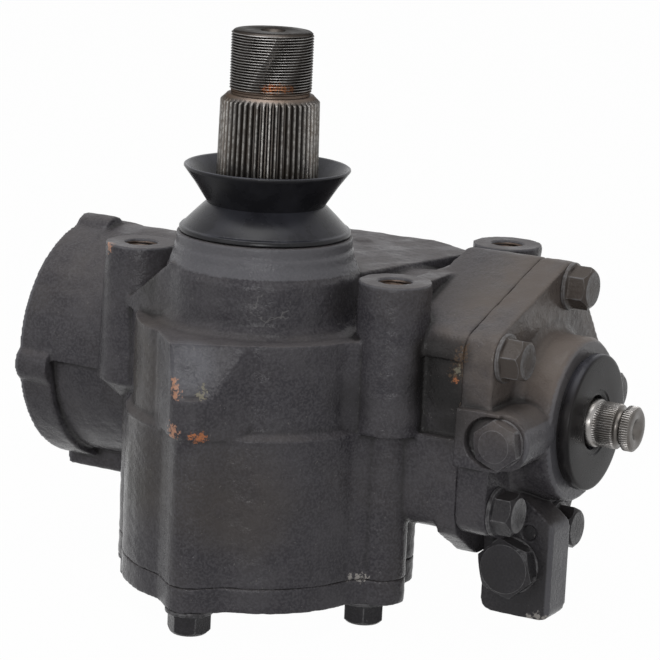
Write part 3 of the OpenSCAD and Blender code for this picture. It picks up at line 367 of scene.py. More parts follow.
def flange_bolt(shank, place):
    """Flange bolt with its seat at the origin of its place."""
    count = 96
    hexagon = hex_radius(BOLT_AF, count)
    rows = [(-shank, 6.2), (-shank + 0.8, 7.0), (-0.02, 7.0), (0.0, 12.9), (0.5, BOLT_FLANGE_R)]
    rows += [(1.6, BOLT_FLANGE_R), (2.2, 13.3), (2.6, 12.7), (3.0, np.minimum(hexagon + 0.5, 12.5))]
    rows += [(3.4, np.minimum(hexagon + 0.12, 12.4)), (3.9, hexagon)]
    for z in np.linspace(10.6, 13.8, 13):
        rows.append((z, np.minimum(hexagon, 12.4 - (z - 11.2) * 1.0)))
    rows += [(14.0, 9.5), (14.0, 0.3)]
    return polar_skin(rows, count, place)


cover_bolt_skins = []
for index, angle in enumerate(COVER_BOLT_ANGLES):
    x = COVER_BOLT_CIRCLE * math.cos(math.radians(angle))
    y = SECTOR_Y + COVER_BOLT_CIRCLE * math.sin(math.radians(angle))
    seat = spun(downward(x, y, COVER_BOTTOM), 20 * index + 12)
    cover_bolt_skins.append(flange_bolt(COVER_BOLT_SHANK, seat))
cover_bolt_mesh = new_mesh("cover_bolts", *joined(cover_bolt_skins), 30)
cover_bolts = add_piece("cover_bolts", cover_bolt_mesh, "gear_housing", "side_cover_bolts")

flange_bolt_skins = []
for index in range(FLANGE_BOLT_N):
    turn = 2 * math.pi * index / FLANGE_BOLT_N
    y = FLANGE_BOLT_CIRCLE * math.cos(turn)
    z = AXIS_Z + FLANGE_BOLT_CIRCLE * math.sin(turn)
    seat = spun(along_x(FLANGE_FACE, y, z), 23 * index)
    flange_bolt_skins.append(flange_bolt(FLANGE_BOLT_SHANK, seat))
flange_bolt_mesh = new_mesh("flange_bolts", *joined(flange_bolt_skins), 30)
flange_bolts = add_piece("flange_bolts", flange_bolt_mesh, "gear_housing", "valve_housing_bolts")


# Hex plugs of the valve housing
def hex_plug(af, head, thread_r, length, place, ring):
    """Hex plug with a washer face, chamfered down to a ring on its outer face."""
    count = 120
    hexagon = hex_radius(af, count)
    corner = af / 2 / math.cos(math.pi / 6)
    top = head + 1.5
    bevel = 0.55 * (corner - ring)
    rows = [(-length, thread_r - 0.8), (-length + 0.8, thread_r), (-0.02, thread_r), (0.0, af / 2 + 0.7)]
    rows += [(0.4, af / 2 + 1.2), (1.1, af / 2 + 1.2), (1.5, af / 2 + 0.8)]
    rows += [(1.6, np.minimum(hexagon, af / 2 + 1)), (2.2, hexagon)]
    for z in np.linspace(top - bevel, top - 0.25, 12):
        rows.append((z, np.minimum(hexagon, corner - (z - top + bevel) * (corner - ring) / (bevel - 0.25))))
    rows += [(top - 0.05, ring - 0.15), (top, ring - 0.5), (top, 0.3)]
    return polar_skin(rows, count, place)


port_skin = hex_plug(24.0, 9.0, 9.0, 13.0, spun(towards_front(151.0, -73.5, AXIS_Z), 8), 9.0)
port_mesh = new_mesh("port_hex_plug", *port_skin, 28)
port_plug = add_piece("port_hex_plug", port_mesh, "gear_housing", "port_plug")
relief_skin = hex_plug(30.0, 10.0, 9.0, 5.0, spun(towards_front(143.0, -33.0, AXIS_Z - 79.0), 12), 14.0)
relief_mesh = new_mesh("relief_hex_plug", *relief_skin, 28)
relief_plug = add_piece("relief_hex_plug", relief_mesh, "gear_housing", "relief_plug")

# Dust disc round the input shaft
DISC_PROFILE = [
    (15.0, 165.2), (22.3, 165.2), (22.3, 166.0), (36.0, 166.0), (36.0, 167.2), (37.3, 167.8), (37.95, 168.6),
    (37.95, 172.8), (37.5, 173.5), (36.7, 173.8), (35.6, 173.95), (24.0, 174.0), (18.6, 173.9), (17.9, 173.2),
    (16.4, 173.2), (15.6, 173.0), (15.0, 172.2)
]
disc_skin = closed_lathe(DISC_PROFILE, 128, along_x(0))
disc_mesh = new_mesh("dust_disc", *disc_skin, 40)
disc = add_piece("dust_disc", disc_mesh, "gear_housing", "input_dust_cover")

# Input shaft: serrated stub on the solid's valve spool
INPUT_N = 56
INPUT_R = 12.6
INPUT_END = 198.0


def input_stub():
    count = INPUT_N * 8
    angles = np.linspace(0, 2 * math.pi, count, endpoint=False)
    dip = 0.75 * tooth_dip(angles, INPUT_N, 0.18)
    tooth = INPUT_R - dip
    rows = [(169.0, 13.5), (175.0, 13.5), (175.7, 13.0)]
    for x in np.linspace(176.0, 187.4, 14):
        rise = np.clip((x - 176.0) / 2.0, 0, 1)
        rows.append((x, INPUT_R - dip * rise))
    rows += [(187.9, np.minimum(tooth, 12.0)), (188.5, 10.6), (189.0, 10.2), (191.0, 10.2), (191.5, 10.6)]
    rows += [(192.1, np.minimum(tooth, 12.0)), (192.5, tooth), (196.6, tooth)]
    rows += [(197.2, np.minimum(tooth, 11.9))]
    rows += [(INPUT_END - 0.1, 11.0), (INPUT_END, 10.6), (INPUT_END, 6.6), (INPUT_END - 0.3, 6.1)]
    rows += [(194.9, 2.7), (194.4, 2.5), (187.0, 2.5), (186.2, 0.3)]
    upper = polar_skin(rows, count, along_x(0))
    lower = cut_mesh("input_shaft", (169.2, 0, 0), (1, 0, 0))
    verts, faces = joined([lower, upper])
    return new_mesh("input_stub", verts, faces, 45)


stub = add_piece("input_stub", input_stub(), "input", "input_shaft")


# Threads in the four mounting holes
MOUNT_R = 9.2
MOUNT_PITCH = 2.5


def mount_thread(x, y):
    """Lining of a mounting hole whose inner wall is a thread."""
    count = 48
    angles = np.linspace(0, 2 * math.pi, count, endpoint=False)
    profile = [(np.full(count, MOUNT_R), -30.0), (np.full(count, MOUNT_R), -1.4)]
    for z in np.arange(-1.5, -30.0, -MOUNT_PITCH / 6):
        phase = (z / MOUNT_PITCH - angles / (2 * math.pi)) % 1.0
        crest = np.clip(1.4 * np.abs(2 * phase - 1) - 0.2, 0, 1)
        fade = np.clip((-1.4 - z) / 1.6, 0, 1)
        profile.append((MOUNT_R - 0.05 - 1.0 * crest * fade, z))
    return closed_lathe(profile, count, upright(x, y, 0))


thread_skins = [mount_thread(x, y) for x in (-MOUNT_X, MOUNT_X) for y in (-MOUNT_Y, MOUNT_Y)]
thread_mesh = new_mesh("mount_threads", *joined(thread_skins), 40)
mount_threads = add_piece("mount_threads", thread_mesh, "gear_housing")


# Ragged sealant in the corner of the front recess, along the seam
def seam_bead():
    sides = 8
    rings = []
    heights = np.linspace(-38.5, -80.5, 60)
    for z in heights:
        at = np.array([[SEAM - 0.5, -68.5, z]])
        width = max(1.0 + 0.7 * unevenness(at, 9, 3)[0] + 0.3 * unevenness(at, 3, 4)[0], 0.25)
        for b in np.linspace(0, 2 * math.pi, sides, endpoint=False):
            rings.append(at[0] + width * np.array((math.cos(b), math.sin(b), 0)))
    last = len(heights) - 1
    faces = [tuple(range(sides - 1, -1, -1)), tuple(range(last * sides, last * sides + sides))]
    for i in range(last):
        low = i * sides
        faces += [(low + j, low + (j + 1) % sides, low + sides + (j + 1) % sides, low + sides + j)
                  for j in range(sides)]
    return new_mesh("seam_sealant", rings, faces, 70)


sealant = add_piece("seam_sealant", seam_bead(), "gear_housing")

# Relief spring, on its own copy of the mesh
spring_mesh = nodes["relief_spring"].data.copy()
spring_mesh.name = "relief_coil"
spring = add_piece("relief_coil", spring_mesh, "gear_housing", "relief_spring")
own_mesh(spring)


# Materials
class Surface:
    """Node material with a principled shader and short ways to add nodes."""

    def __init__(self, name, metallic=0.0, specular=0.5, rim=1.0):
        self.material = bpy.data.materials.new(name)
        self.material.use_nodes = True
        self.tree = self.material.node_tree
        self.shader = self.tree.nodes["Principled BSDF"]
        self.shader.inputs["Metallic"].default_value = metallic
        self.shader.inputs["Specular IOR Level"].default_value = specular
        self.shader.inputs["Specular Tint"].default_value = (rim, rim, rim, 1)
        self.coords = self.tree.nodes.new("ShaderNodeTexCoord").outputs["Object"]

    def put(self, value, socket):
        if isinstance(value, bpy.types.NodeSocket):
            self.tree.links.new(value, socket)
        else:
            socket.default_value = value

    def math(self, kind, a, b=0.0):
        node = self.tree.nodes.new("ShaderNodeMath")
        node.operation = kind
        self.put(a, node.inputs[0])
        self.put(b, node.inputs[1])
        return node.outputs[0]

    def noise(self, scale, detail, rough):
        node = self.tree.nodes.new("ShaderNodeTexNoise")
        node.inputs["Scale"].default_value = scale
        node.inputs["Detail"].default_value = detail
        node.inputs["Roughness"].default_value = rough
        self.tree.links.new(self.coords, node.inputs["Vector"])
        return node.outputs["Fac"]

    def ramp(self, value, low, high, a=0.0, b=1.0):
        node = self.tree.nodes.new("ShaderNodeMapRange")
        node.interpolation_type = "SMOOTHSTEP"
        self.put(value, node.inputs["Value"])
        for label, number in (("From Min", low), ("From Max", high), ("To Min", a), ("To Max", b)):
            node.inputs[label].default_value = number
        return node.outputs["Result"]

    def mix(self, share, a, b):
        node = self.tree.nodes.new("ShaderNodeMix")
        node.data_type = "RGBA"
        self.put(share, node.inputs["Factor"])
        self.put(a, node.inputs[6])
        self.put(b, node.inputs[7])
        return node.outputs[2]

    def attribute(self, name):
        node = self.tree.nodes.new("ShaderNodeAttribute")
        node.attribute_name = name
        return node.outputs["Fac"]

    def axis(self, index):
        node = self.tree.nodes.new("ShaderNodeSeparateXYZ")
        self.tree.links.new(self.coords, node.inputs[0])
        return node.outputs[index]

    def reach(self, centre, keep):
        """Distance in metres from a line through a point in millimetres, along the axis left out of keep."""
        parts = [self.math("SUBTRACT", self.axis(k), centre[k] * MM) for k in keep]
        squares = [self.math("MULTIPLY", part, part) for part in parts]
        return self.math("SQRT", self.math("ADD", squares[0], squares[1]))

    def cells(self, scale, coords):
        """Distance to the borders of random cells."""
        node = self.tree.nodes.new("ShaderNodeTexVoronoi")
        node.feature = "DISTANCE_TO_EDGE"
        node.inputs["Scale"].default_value = scale
        self.tree.links.new(coords, node.inputs["Vector"])
        return node.outputs["Distance"]

    def wavy(self, scale, amount):
        """Coordinates shaken by a coloured noise."""
        noise = self.tree.nodes.new("ShaderNodeTexNoise")
        noise.inputs["Scale"].default_value = scale
        self.tree.links.new(self.coords, noise.inputs["Vector"])
        node = self.tree.nodes.new("ShaderNodeVectorMath")
        node.operation = "MULTIPLY_ADD"
        self.tree.links.new(noise.outputs["Color"], node.inputs[0])
        node.inputs[1].default_value = (amount, amount, amount)
        self.tree.links.new(self.coords, node.inputs[2])
        return node.outputs["Vector"]

    def upward(self):
        geometry = self.tree.nodes.new("ShaderNodeNewGeometry")
        node = self.tree.nodes.new("ShaderNodeSeparateXYZ")
        self.tree.links.new(geometry.outputs["Normal"], node.inputs[0])
        return node.outputs[2]

    def spot(self, point, radius, ragged):
        """Mask of a spot round a point in millimetres, eaten into by a ragged noise from 0 to 1."""
        node = self.tree.nodes.new("ShaderNodeVectorMath")
        node.operation = "DISTANCE"
        self.tree.links.new(self.coords, node.inputs[0])
        node.inputs[1].default_value = [v * MM for v in point]
        reach = self.math("ADD", node.outputs["Value"], self.math("MULTIPLY", ragged, 1.5 * radius * MM))
        return self.ramp(reach, 1.45 * radius * MM, 1.2 * radius * MM)

    def stain(self, point, radius):
        """Soft mask that fades out over a radius in millimetres round a point."""
        node = self.tree.nodes.new("ShaderNodeVectorMath")
        node.operation = "DISTANCE"
        self.tree.links.new(self.coords, node.inputs[0])
        node.inputs[1].default_value = [v * MM for v in point]
        return self.ramp(node.outputs["Value"], radius * MM, 0.3 * radius * MM)

    def bump(self, height, strength, distance):
        node = self.tree.nodes.new("ShaderNodeBump")
        node.inputs["Strength"].default_value = strength
        node.inputs["Distance"].default_value = distance
        self.put(height, node.inputs["Height"])
        if self.shader.inputs["Normal"].is_linked:
            self.tree.links.new(self.shader.inputs["Normal"].links[0].from_socket, node.inputs["Normal"])
        self.tree.links.new(node.outputs[0], self.shader.inputs["Normal"])

    def finish(self, colour, roughness):
        self.put(colour, self.shader.inputs["Base Color"])
        self.put(roughness, self.shader.inputs["Roughness"])
        return self.material


PEACH = (0.47, 0.25, 0.165, 1)
ORANGE = (0.45, 0.17, 0.075, 1)
PALE = (0.36, 0.34, 0.32, 1)
STRAW = (0.20, 0.185, 0.14, 1)
BROWN = (0.088, 0.060, 0.042, 1)
BLACK = (0.016, 0.015, 0.015, 1)

# Places where the paint is chipped or stained: point, radius and colour
PAINT_MARKS = [
    ((-2.8, -158.5, -51.5), 2.6, PEACH),
    ((-1.8, -158.7, -55.0), 3.2, PEACH),
    ((-0.6, -159.0, -58.5), 3.6, PEACH),
    ((-2.0, -159.1, -78.9), 5.2, PEACH),
    ((-3.0, -158.6, -82.0), 3.4, PEACH),
    ((12.9, -155.0, -81.2), 4.4, ORANGE),
    ((9.4, -157.4, -80.2), 2.8, ORANGE),
    ((12.2, -151.6, -55.4), 2.8, STRAW),
    ((11.2, -152.6, -58.8), 3.2, STRAW),
    ((8.0, -153.8, -62.5), 2.6, STRAW),
    ((-91.8, -86.9, -1.5), 4.2, PEACH),
    ((72.0, -88.5, -164.2), 2.6, PALE),
    ((75.0, -84.8, -164.7), 3.2, PALE),
    ((78.0, -81.5, -164.8), 2.2, PALE),
    ((160.0, -33.0, -184.0), 3.6, PALE),
    ((155.0, -33.0, -185.4), 3.0, PALE),
    ((164.0, -32.0, -183.5), 2.8, PALE),
    ((124.5, -72.0, -32.0), 4.5, BROWN),
    ((124.0, -72.5, -36.0), 4.5, BROWN),
    ((121.5, -68.2, -42.0), 5.0, BROWN),
    ((118.8, -68.2, -47.0), 5.0, BROWN),
    ((121.0, -68.2, -44.0), 3.2, STRAW),
    ((119.5, -68.2, -49.5), 2.2, ORANGE),
]
CRACKS_AT = (30.0, -116.0, -18.0)

# Broad tints of the paint, with painted shade and a painted sheen: point, radius, colour and strength
STAINS_AND_PAINTED_LIGHT = [
    ((-44.0, -118.0, -55.0), 42.0, (0.062, 0.053, 0.045, 1), 0.80),
    ((-30.0, -125.0, -110.0), 45.0, (0.060, 0.052, 0.045, 1), 0.70),
    # Painted shade on the lower left wall
    ((-48.0, -127.0, -120.0), 24.0, (0.040, 0.037, 0.035, 1), 0.90),
    # Painted shade between post B3 and the boss
    ((-56.0, -101.0, -13.0), 17.0, (0.024, 0.022, 0.022, 1), 0.90),
    ((30.0, -140.0, -120.0), 40.0, (0.068, 0.059, 0.054, 1), 0.60),
    # Painted sheen: light bluish patch on the facet at the front left corner
    ((4.0, -154.0, -44.0), 20.0, (0.142, 0.142, 0.158, 1), 0.80),
    # Painted shade in the corner where the block front meets post B1
    ((66.0, -92.0, -66.0), 20.0, (0.036, 0.034, 0.037, 1), 0.80),
    # Painted shade in the crevice to the right of the boss
    ((53.0, -80.0, -13.0), 16.0, (0.045, 0.041, 0.040, 1), 0.45),
    # Painted shade along the top of the front recess by the seam
    ((102.0, -72.5, -34.0), 13.0, (0.022, 0.020, 0.020, 1), 1.00),
    ((112.0, -72.5, -34.0), 13.0, (0.022, 0.020, 0.020, 1), 1.00),
    ((122.0, -72.5, -34.0), 12.0, (0.026, 0.023, 0.022, 1), 1.00),
    # Painted shade inside the front recess
    ((108.0, -68.0, -52.0), 26.0, (0.016, 0.015, 0.015, 1), 1.00),
    ((118.0, -68.0, -68.0), 24.0, (0.016, 0.015, 0.015, 1), 1.00),
    # Painted shade, darker towards the bottom of the valve block
    ((150.0, -33.0, -165.0), 50.0, (0.029, 0.028, 0.030, 1), 0.85),
]


def shaded(colour, tone):
    return tuple(tone * v for v in colour[:3]) + (1,)


def cast_paint(name, tone=1.0):
    """Charcoal paint over sand-cast iron with dust on ledges, wear and a painted highlight on edges, chips,
    painted shade in hollows and shaded places, and a painted sheen on machined side faces and one facet.
    """
    s = Surface(name, specular=0.15)
    fine = s.noise(1500, 3, 0.6)
    peel = s.noise(720, 2, 0.5)
    grain = s.noise(240, 4, 0.6)
    patch = s.noise(42, 5, 0.6)
    broad = s.noise(13, 3, 0.5)
    ragged = s.ramp(s.noise(560, 5, 0.7), 0.30, 0.70)
    dark = shaded((0.041, 0.0385, 0.045), tone)
    light = shaded((0.067, 0.0635, 0.069), tone)
    colour = s.mix(s.ramp(patch, 0.35, 0.68), dark, light)
    colour = s.mix(s.ramp(broad, 0.42, 0.68, 0.0, 0.5), colour, shaded((0.068, 0.061, 0.057), tone))
    colour = s.mix(s.ramp(peel, 0.38, 0.64, 0.0, 0.65), colour, shaded((0.090, 0.086, 0.094), tone))
    flange = s.math("MULTIPLY", s.ramp(s.axis(0), 0.094, 0.120), s.ramp(patch, 0.30, 0.60, 0.25, 0.8))
    above = s.ramp(s.axis(2), -0.090, -0.040, 0.05, 1.0)
    colour = s.mix(s.math("MULTIPLY", flange, above), colour, shaded((0.124, 0.104, 0.092), tone))
    beyond = s.ramp(s.axis(0), 0.138, 0.148, 0.0, 0.7)
    valve_top = s.math("MULTIPLY", beyond, s.ramp(s.axis(2), -0.075, -0.045))
    colour = s.mix(valve_top, colour, shaded((0.160, 0.132, 0.114), tone))
    # Dust on upward faces and ledges, also standing in for part of their sheen
    dust_and_sheen = s.math("MULTIPLY", s.ramp(s.upward(), 0.25, 0.95), s.ramp(patch, 0.30, 0.60, 0.45, 1.0))
    colour = s.mix(s.math("MULTIPLY", dust_and_sheen, 0.26), colour, shaded((0.118, 0.103, 0.093), tone))
    uneven = s.ramp(patch, 0.30, 0.60, 0.60, 1.0)
    for point, radius, tint, strength in STAINS_AND_PAINTED_LIGHT:
        share = s.math("MULTIPLY", s.stain(point, radius), s.math("MULTIPLY", uneven, strength))
        colour = s.mix(share, colour, tint)
    speck = s.ramp(s.noise(520, 1, 0.5), 0.745, 0.775, 0.0, 0.4)
    colour = s.mix(speck, colour, (0.20, 0.19, 0.18, 1))
    # Machined places lighter and bluer, strongest on side faces: a smoother machined finish and a painted
    # sheen
    machined = s.math("MULTIPLY", s.attribute("machined"), s.ramp(s.upward(), 0.40, 0.95, 0.65, 0.08))
    colour = s.mix(machined, colour, (0.150, 0.149, 0.162, 1))
    # Lighter on raised edges: paint wear and a painted highlight
    edge = s.ramp(s.attribute("edge"), 0.20, 0.70)
    wear_and_highlight = s.math("MULTIPLY", edge, s.ramp(grain, 0.34, 0.58, 0.2, 1.0))
    colour = s.mix(s.math("MULTIPLY", wear_and_highlight, 0.75), colour, (0.185, 0.182, 0.187, 1))
    # Painted shade: hollows darkened towards black
    hollow_shade = s.ramp(s.attribute("hollow_shade"), 0.08, 0.75)
    colour = s.mix(s.math("MULTIPLY", hollow_shade, 0.85), colour, BLACK)
    cracks = s.ramp(s.cells(62, s.wavy(120, 0.012)), 0.030, 0.010)
    near = s.math("MULTIPLY", s.spot(CRACKS_AT, 17.0, grain), cracks)
    colour = s.mix(s.math("MULTIPLY", near, 0.6), colour, (0.17, 0.165, 0.165, 1))
    for point, radius, mark in PAINT_MARKS:
        colour = s.mix(s.spot(point, radius, ragged), colour, mark)
    s.bump(grain, 0.4, 0.0008)
    s.bump(peel, 0.5, 0.0005)
    s.bump(fine, 0.4, 0.0002)
    rough = s.math("ADD", s.ramp(patch, 0.3, 0.7, 0.20, 0.31), s.math("MULTIPLY", dust_and_sheen, 0.30))
    return s.finish(colour, rough)


def turned_steel(name, base, tint, rough_low, rough_high):
    """Machined steel with fine turning marks and a brownish film."""
    s = Surface(name, metallic=1.0)
    patch = s.noise(90, 4, 0.6)
    fine = s.noise(1500, 3, 0.6)
    colour = s.mix(s.ramp(patch, 0.35, 0.75), base, tint)
    s.bump(fine, 0.15, 0.0001)
    return s.finish(colour, s.ramp(patch, 0.3, 0.7, rough_low, rough_high))


# Rust at the foot of the output thread: point and radius
RUST_MARKS = [
    ((14.4, -89.3, 99.0), 3.4),
    ((11.5, -91.5, 98.8), 3.2),
    ((17.0, -86.7, 98.8), 3.0),
    ((8.0, -93.0, 98.4), 2.4),
    ((19.5, -83.2, 98.6), 2.2),
]


def worn_shaft(name):
    """Output shaft: dark steel with crests lightened as wear and a painted highlight, roots darkened by grime
    and painted shade, and rust at the thread's foot.
    """
    s = Surface(name, metallic=0.9, rim=0.30)
    patch = s.noise(70, 5, 0.62)
    streak = s.noise(420, 4, 0.6)
    fine = s.noise(1800, 3, 0.6)
    ragged = s.ramp(s.noise(900, 4, 0.7), 0.30, 0.70)
    away = s.reach((0, SECTOR_Y, 0), (0, 1))
    height = s.axis(2)
    colour = s.mix(s.ramp(patch, 0.36, 0.66), (0.115, 0.109, 0.105, 1), (0.082, 0.070, 0.060, 1))
    # Serration crests lighter: polished wear and a painted highlight
    taper = s.math("ADD", away, s.ramp(height, 0.039, 0.092, 0.0, 0.001))
    on_teeth = s.math("MULTIPLY", s.ramp(height, 0.0915, 0.0895), s.ramp(height, 0.0390, 0.0400))
    crest = s.math("MULTIPLY", s.ramp(taper, 0.0273, 0.0280), on_teeth)
    crest = s.math("MULTIPLY", crest, s.ramp(streak, 0.40, 0.60, 0.25, 1.0))
    colour = s.mix(crest, colour, (0.24, 0.232, 0.22, 1))
    # Thread crests lighter: wear and a painted highlight
    thread_crest = s.math("MULTIPLY", s.ramp(away, 0.0219, 0.0223), s.ramp(height, 0.0930, 0.0940))
    colour = s.mix(s.math("MULTIPLY", thread_crest, 0.9), colour, (0.33, 0.322, 0.313, 1))
    # Roots darker: grime and painted shade
    thread_root = s.math("MULTIPLY", s.ramp(away, 0.0224, 0.0217), s.ramp(height, 0.0930, 0.0940))
    tooth_root = s.math("MULTIPLY", s.ramp(taper, 0.0276, 0.0264), on_teeth)
    root = s.math("MAXIMUM", thread_root, s.math("MULTIPLY", tooth_root, 0.55))
    colour = s.mix(s.math("MULTIPLY", root, 0.80), colour, (0.036, 0.030, 0.026, 1))
    neck = s.math("MULTIPLY", s.ramp(height, 0.0905, 0.0925), s.ramp(height, 0.0975, 0.0945))
    colour = s.mix(s.math("MULTIPLY", neck, 0.6), colour, (0.165, 0.122, 0.096, 1))
    for point, radius in RUST_MARKS:
        colour = s.mix(s.math("MULTIPLY", s.spot(point, radius, ragged), 0.8), colour, (0.40, 0.18, 0.08, 1))
    s.bump(streak, 0.25, 0.0002)
    s.bump(fine, 0.25, 0.0001)
    return s.finish(colour, s.ramp(patch, 0.3, 0.7, 0.26, 0.42))


def ground_stub(name):
    """Input shaft: bright steel with painted shade in the roots between its serrations."""
    s = Surface(name, metallic=1.0)
    patch = s.noise(120, 4, 0.6)
    fine = s.noise(2000, 3, 0.6)
    away = s.reach((0, 0, AXIS_Z), (1, 2))
    colour = s.mix(s.ramp(patch, 0.35, 0.70), (0.29, 0.28, 0.272, 1), (0.19, 0.178, 0.166, 1))
    # Painted shade: roots between the serrations darkened
    beyond = s.ramp(s.axis(0), 0.1755, 0.1765)
    root = s.math("MULTIPLY", s.ramp(away, 0.0124, 0.0118), beyond)
    colour = s.mix(s.math("MULTIPLY", root, 0.7), colour, (0.07, 0.062, 0.055, 1))
    s.bump(fine, 0.2, 0.0001)
    return s.finish(colour, s.ramp(patch, 0.3, 0.7, 0.24, 0.40))


def black_rubber(name, dark, light, sheen):
    """Rubber with faint moulding grain, satin above and dull underneath, lighter and bluer on upward faces: a
    little dust and a painted sheen.
    """
    s = Surface(name)
    patch = s.noise(60, 5, 0.6)
    fine = s.noise(1300, 3, 0.6)
    colour = s.mix(s.ramp(patch, 0.38, 0.70), dark, light)
    # Lighter and bluer on upward faces: a little dust and a painted sheen
    dust_and_sheen = s.math("MULTIPLY", s.ramp(s.upward(), 0.35, 1.0), s.ramp(patch, 0.35, 0.65, 0.22, 0.52))
    colour = s.mix(dust_and_sheen, colour, (0.082, 0.084, 0.106, 1))
    s.bump(fine, 0.18, 0.00012)
    s.put(s.ramp(s.upward(), -0.35, 0.10, 0.08, sheen), s.shader.inputs["Specular IOR Level"])
    return s.finish(colour, s.ramp(patch, 0.3, 0.7, 0.24, 0.32))


def sealant_look(name):
    """Hardened sealant, dark and stained brown."""
    s = Surface(name, specular=0.4)
    patch = s.noise(160, 4, 0.6)
    fine = s.noise(900, 3, 0.6)
    colour = s.mix(s.ramp(patch, 0.40, 0.62), (0.035, 0.033, 0.033, 1), (0.125, 0.088, 0.062, 1))
    s.bump(fine, 0.5, 0.0004)
    return s.finish(colour, s.ramp(patch, 0.3, 0.7, 0.45, 0.7))


paint = cast_paint("cast_paint_look")
bolt_paint = cast_paint("bolt_paint_look", 0.50)
plug_paint = cast_paint("plug_paint_look", 0.95)
dark_paint = cast_paint("dark_paint_look", 0.45)
shaft_steel = worn_shaft("shaft_steel_look")
bright_steel = ground_stub("bright_steel_look")
inner_steel = turned_steel("inner_steel_look", (0.45, 0.44, 0.43, 1), (0.36, 0.34, 0.31, 1), 0.25, 0.42)
hole_steel = turned_steel("hole_steel_look", (0.105, 0.082, 0.070, 1), (0.064, 0.043, 0.032, 1), 0.40, 0.60)
boot_rubber = black_rubber("boot_rubber_look", (0.010, 0.010, 0.012, 1), (0.017, 0.017, 0.020, 1), 0.22)
disc_rubber = black_rubber("disc_rubber_look", (0.016, 0.015, 0.016, 1), (0.022, 0.020, 0.020, 1), 0.10)
seam_look = sealant_look("sealant_look")


def dress(piece, material):
    piece.data.materials.clear()
    piece.data.materials.append(material)


for piece in (housing, valve, cover):
    dress(piece, paint)
for piece, look in ((cover_bolts, dark_paint), (flange_bolts, bolt_paint), (port_plug, plug_paint),
                    (relief_plug, plug_paint)):
    dress(piece, look)
    mark_edges(piece.data)
dress(shaft, shaft_steel)
dress(boot, boot_rubber)
dress(disc, disc_rubber)
dress(stub, bright_steel)
dress(mount_threads, hole_steel)
dress(sealant, seam_look)
dress(spring, inner_steel)

# The ball plug gets the darker paint as painted shade, so its recess reads dark
own_looks = {"ball_plug": dark_paint}
node_looks = {"cast_paint": paint, "dark_steel": bolt_paint, "rubber": boot_rubber, "steel": inner_steel,
              "bright_steel": bright_steel}
for part in frame["record"]["subparts"]:
    solid = nodes[part["node"]]
    look = own_looks.get(part["node"], node_looks[part["material_slot"]])
    if solid.material_slots:
        for slot in solid.material_slots:
            slot.material = look
    else:
        solid.data.materials.append(look)

# Camera at the photograph's viewpoint
IMAGE_SIZE = 660
FOCAL_PIXELS = 2907
CAMERA_DISTANCE = 1.63935
camera_data = bpy.data.cameras.new("photo_camera")
camera_data.sensor_width = 36.0
camera_data.lens = FOCAL_PIXELS / IMAGE_SIZE * camera_data.sensor_width
camera_data.clip_end = 20.0
camera = bpy.data.objects.new("photo_camera", camera_data)
bpy.context.scene.collection.objects.link(camera)
azimuth = math.radians(28.368)
elevation = math.radians(12.655)
roll = math.radians(2.645)
target = Vector((0.01969, -0.02798, -0.0436))
back = Vector((math.sin(azimuth) * math.cos(elevation), -math.cos(azimuth) * math.cos(elevation),
               math.sin(elevation)))
right = Vector((math.cos(azimuth), math.sin(azimuth), 0))
up = back.cross(right)
turn = Matrix((right, up, back)).transposed().to_4x4() @ Matrix.Rotation(roll, 4, "Z")
camera.matrix_world = Matrix.Translation(target + back * CAMERA_DISTANCE) @ turn
bpy.context.scene.camera = camera

# Floor that reads as white in the picture and keeps a soft shadow
FLOOR_Z = -0.1945
FLOOR_HALF = 6
FLOOR_WHITE = 0.985
floor_mesh = bpy.data.meshes.new("floor")
floor_corners = [(a * FLOOR_HALF, b * FLOOR_HALF, FLOOR_Z) for a, b in ((-1, -1), (1, -1), (1, 1), (-1, 1))]
floor_mesh.from_pydata(floor_corners, [], [(0, 1, 2, 3)])
floor = bpy.data.objects.new("floor", floor_mesh)
bpy.context.scene.collection.objects.link(floor)


def seen_directly(tree):
    """1 for rays from the camera, mirrors and glass, 0 for the light that falls on surfaces."""
    path = tree.nodes.new("ShaderNodeLightPath")
    first = tree.nodes.new("ShaderNodeMath")
    first.operation = "MAXIMUM"
    tree.links.new(path.outputs["Is Camera Ray"], first.inputs[0])
    tree.links.new(path.outputs["Is Glossy Ray"], first.inputs[1])
    second = tree.nodes.new("ShaderNodeMath")
    second.operation = "MAXIMUM"
    tree.links.new(first.outputs[0], second.inputs[0])
    tree.links.new(path.outputs["Is Transmission Ray"], second.inputs[1])
    return second.outputs[0]


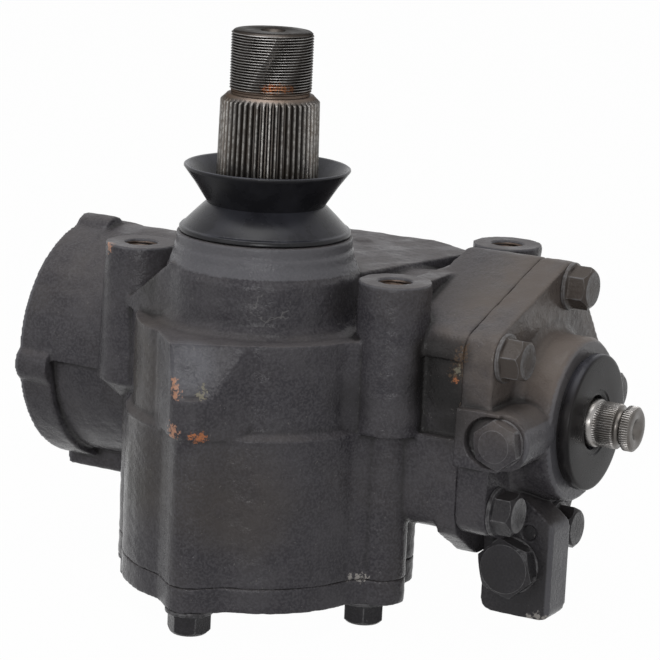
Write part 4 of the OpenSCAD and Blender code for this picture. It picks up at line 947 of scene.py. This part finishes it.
floor_look = bpy.data.materials.new("floor_look")
floor_look.use_nodes = True
tree = floor_look.node_tree
diffuse = tree.nodes["Principled BSDF"]
diffuse.inputs["Base Color"].default_value = (0.45, 0.45, 0.45, 1)
diffuse.inputs["Roughness"].default_value = 0.9
glow = tree.nodes.new("ShaderNodeEmission")
glow.inputs["Strength"].default_value = 1.0
blend = tree.nodes.new("ShaderNodeMixShader")
share = tree.nodes.new("ShaderNodeMath")
share.operation = "MULTIPLY"
share.inputs[1].default_value = FLOOR_WHITE
tree.links.new(seen_directly(tree), share.inputs[0])
tree.links.new(share.outputs[0], blend.inputs[0])
tree.links.new(diffuse.outputs[0], blend.inputs[1])
tree.links.new(glow.outputs[0], blend.inputs[2])
tree.links.new(blend.outputs[0], tree.nodes["Material Output"].inputs["Surface"])
floor.data.materials.append(floor_look)

# Even studio light
world = bpy.data.worlds.new("studio")
world.use_nodes = True
bpy.context.scene.world = world
tree = world.node_tree
ambient = tree.nodes["Background"]
ambient.inputs["Color"].default_value = (1, 1, 1, 1)
ambient.inputs["Strength"].default_value = 0.20
white = tree.nodes.new("ShaderNodeBackground")
white.inputs["Color"].default_value = (1, 1, 1, 1)
white.inputs["Strength"].default_value = 1.0
choose = tree.nodes.new("ShaderNodeMixShader")
tree.links.new(seen_directly(tree), choose.inputs[0])
tree.links.new(ambient.outputs[0], choose.inputs[1])
tree.links.new(white.outputs[0], choose.inputs[2])
tree.links.new(choose.outputs[0], tree.nodes["World Output"].inputs["Surface"])


def soft_box(name, place, aim, size, power):
    light = bpy.data.lights.new(name, "AREA")
    light.shape = "RECTANGLE"
    light.size = size[0]
    light.size_y = size[1]
    light.energy = power
    lamp = bpy.data.objects.new(name, light)
    bpy.context.scene.collection.objects.link(lamp)
    lamp.location = place
    lamp.rotation_euler = (Vector(aim) - Vector(place)).to_track_quat("-Z", "Y").to_euler()


soft_box("top_light", (-0.1, -0.2, 1.5), (0, 0, 0), (1.2, 1.2), 15.5)
soft_box("left_light", (-0.6, -1.7, 0.5), (0, -0.1, -0.05), (0.8, 0.8), 2.6)
soft_box("right_light", (1.5, -0.5, 0.7), (0.1, 0, -0.05), (0.9, 1.2), 0.8)
soft_box("front_light", (0.75, -1.76, 0.30), (0, -0.1, -0.05), (0.6, 0.35), 9.0)

bpy.context.scene.view_settings.view_transform = "Standard"
